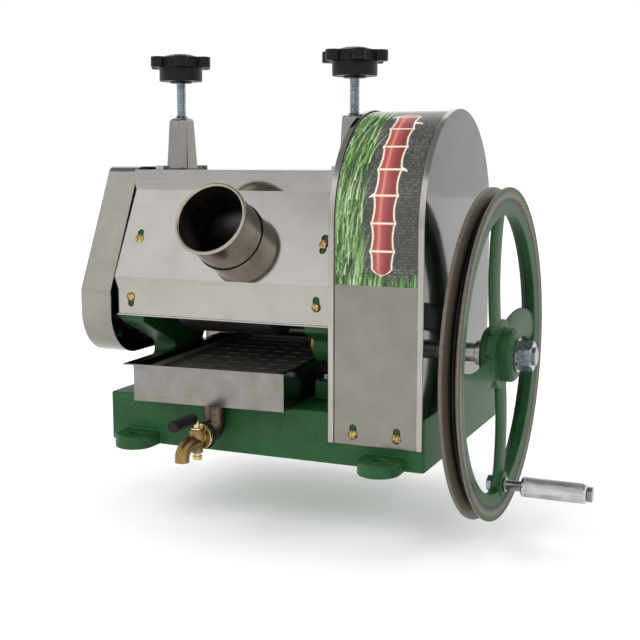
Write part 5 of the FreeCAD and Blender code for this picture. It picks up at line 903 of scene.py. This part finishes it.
beat = np.abs((S - 6) / JOINT_STEP % 1 - 0.5) * 2
half = STALK_HALF + 1.1 * soft_step(beat, 0.86, 0.2) - 0.5 * np.cos(beat * np.pi)
ends = np.minimum(S - STALK_LOW, STALK_HIGH - S)
half = half * np.sqrt(np.clip(ends / 5, 0, 1))
offset = U - STALK_MIDDLE - 1.2 * np.sin(S / 38)
colours = blended(colours, PITH, soft_step(half + 1.5 - np.abs(offset), 0, 0.7) * (ends > -1.2))
inner = soft_step(half - np.abs(offset), 0, 0.6)
colours = blended(colours, "#9C4446", inner)
colours = blended(colours, "#6F2420", inner * 0.8 * soft_step(offset / np.maximum(half, 1), 0.25, 0.9))
colours = blended(colours, "#D98A7C", inner * 0.7 * np.exp(-((offset / np.maximum(half, 1) + 0.4) / 0.16) ** 2))
colours = blended(colours, PITH, inner * soft_step(beat, 0.93, 0.04))
for side, foot, reach in LEAVES:
    part = np.clip(side * offset / reach, 0, 1)
    vein = foot + 26 * part - 20 * part ** 2
    leaf = soft_step(1.5 * np.sin(part * np.pi) ** 0.7 + 0.3 - np.abs(S - vein), 0, 0.5)
    colours = blended(colours, "#E9EBDD", 0.9 * leaf * (side * offset > half) * (part < 1))
print("mean tone", colours.mean((0, 1)).round(3))

# %% Printed film, its finish
# A laminated vinyl print is smooth under a thin clear film. It fades a little in broad places.
laminated_print, tree = new_material("laminated_vinyl_print")
place = object_place(tree)
picture = add(tree, "ShaderNodeAttribute", attribute_name="print")
fade = add(tree, "ShaderNodeTexNoise", {"Scale": 1 / (12 * MM), "Detail": 3.0}, {"Vector": place})
fading = add(tree, "ShaderNodeMapRange", {"To Max": 0.1}, {0: fade.outputs["Fac"]})
tone = add(tree, "ShaderNodeMix", {7: linear("#8A8A86")}, {0: fading.outputs[0], 6: picture.outputs["Color"]},
           data_type="RGBA")
ripple = add(tree, "ShaderNodeBump", {"Strength": 0.4, "Distance": 0.1 * MM}, {"Height": fade.outputs["Fac"]})
shader = add(tree, "ShaderNodeBsdfPrincipled",
             {"Roughness": 0.3, "Specular IOR Level": 0.3, "Coat Weight": 0.1, "Coat Roughness": 0.08},
             {"Base Color": tone.outputs[2], "Normal": ripple.outputs[0]})
add(tree, "ShaderNodeOutputMaterial", None, {"Surface": shader.outputs["BSDF"]})
print("print finish", laminated_print.name)

# %% Printed film, its piece
film_mesh = bpy.data.meshes.new("cover_print")
film_mesh.from_pydata(film_points.tolist(), [], film_quads.tolist())
film_mesh.polygons.foreach_set("use_smooth", np.ones(len(film_quads), bool))
ink = film_mesh.color_attributes.new(name="print", type="FLOAT_COLOR", domain="POINT")
ink.data.foreach_set("color", np.dstack([colours, np.ones(X.shape)]).ravel())
film_mesh.materials.append(laminated_print)
film = bpy.data.objects.new("cover_print", film_mesh)
scene.collection.objects.link(film)
backing = film.modifiers.new("backing", "SOLIDIFY")
backing.thickness = FILM_THICKNESS * MM
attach(film, "machine")
print("film normal", [round(part, 2) for part in film_mesh.polygons[0].normal])
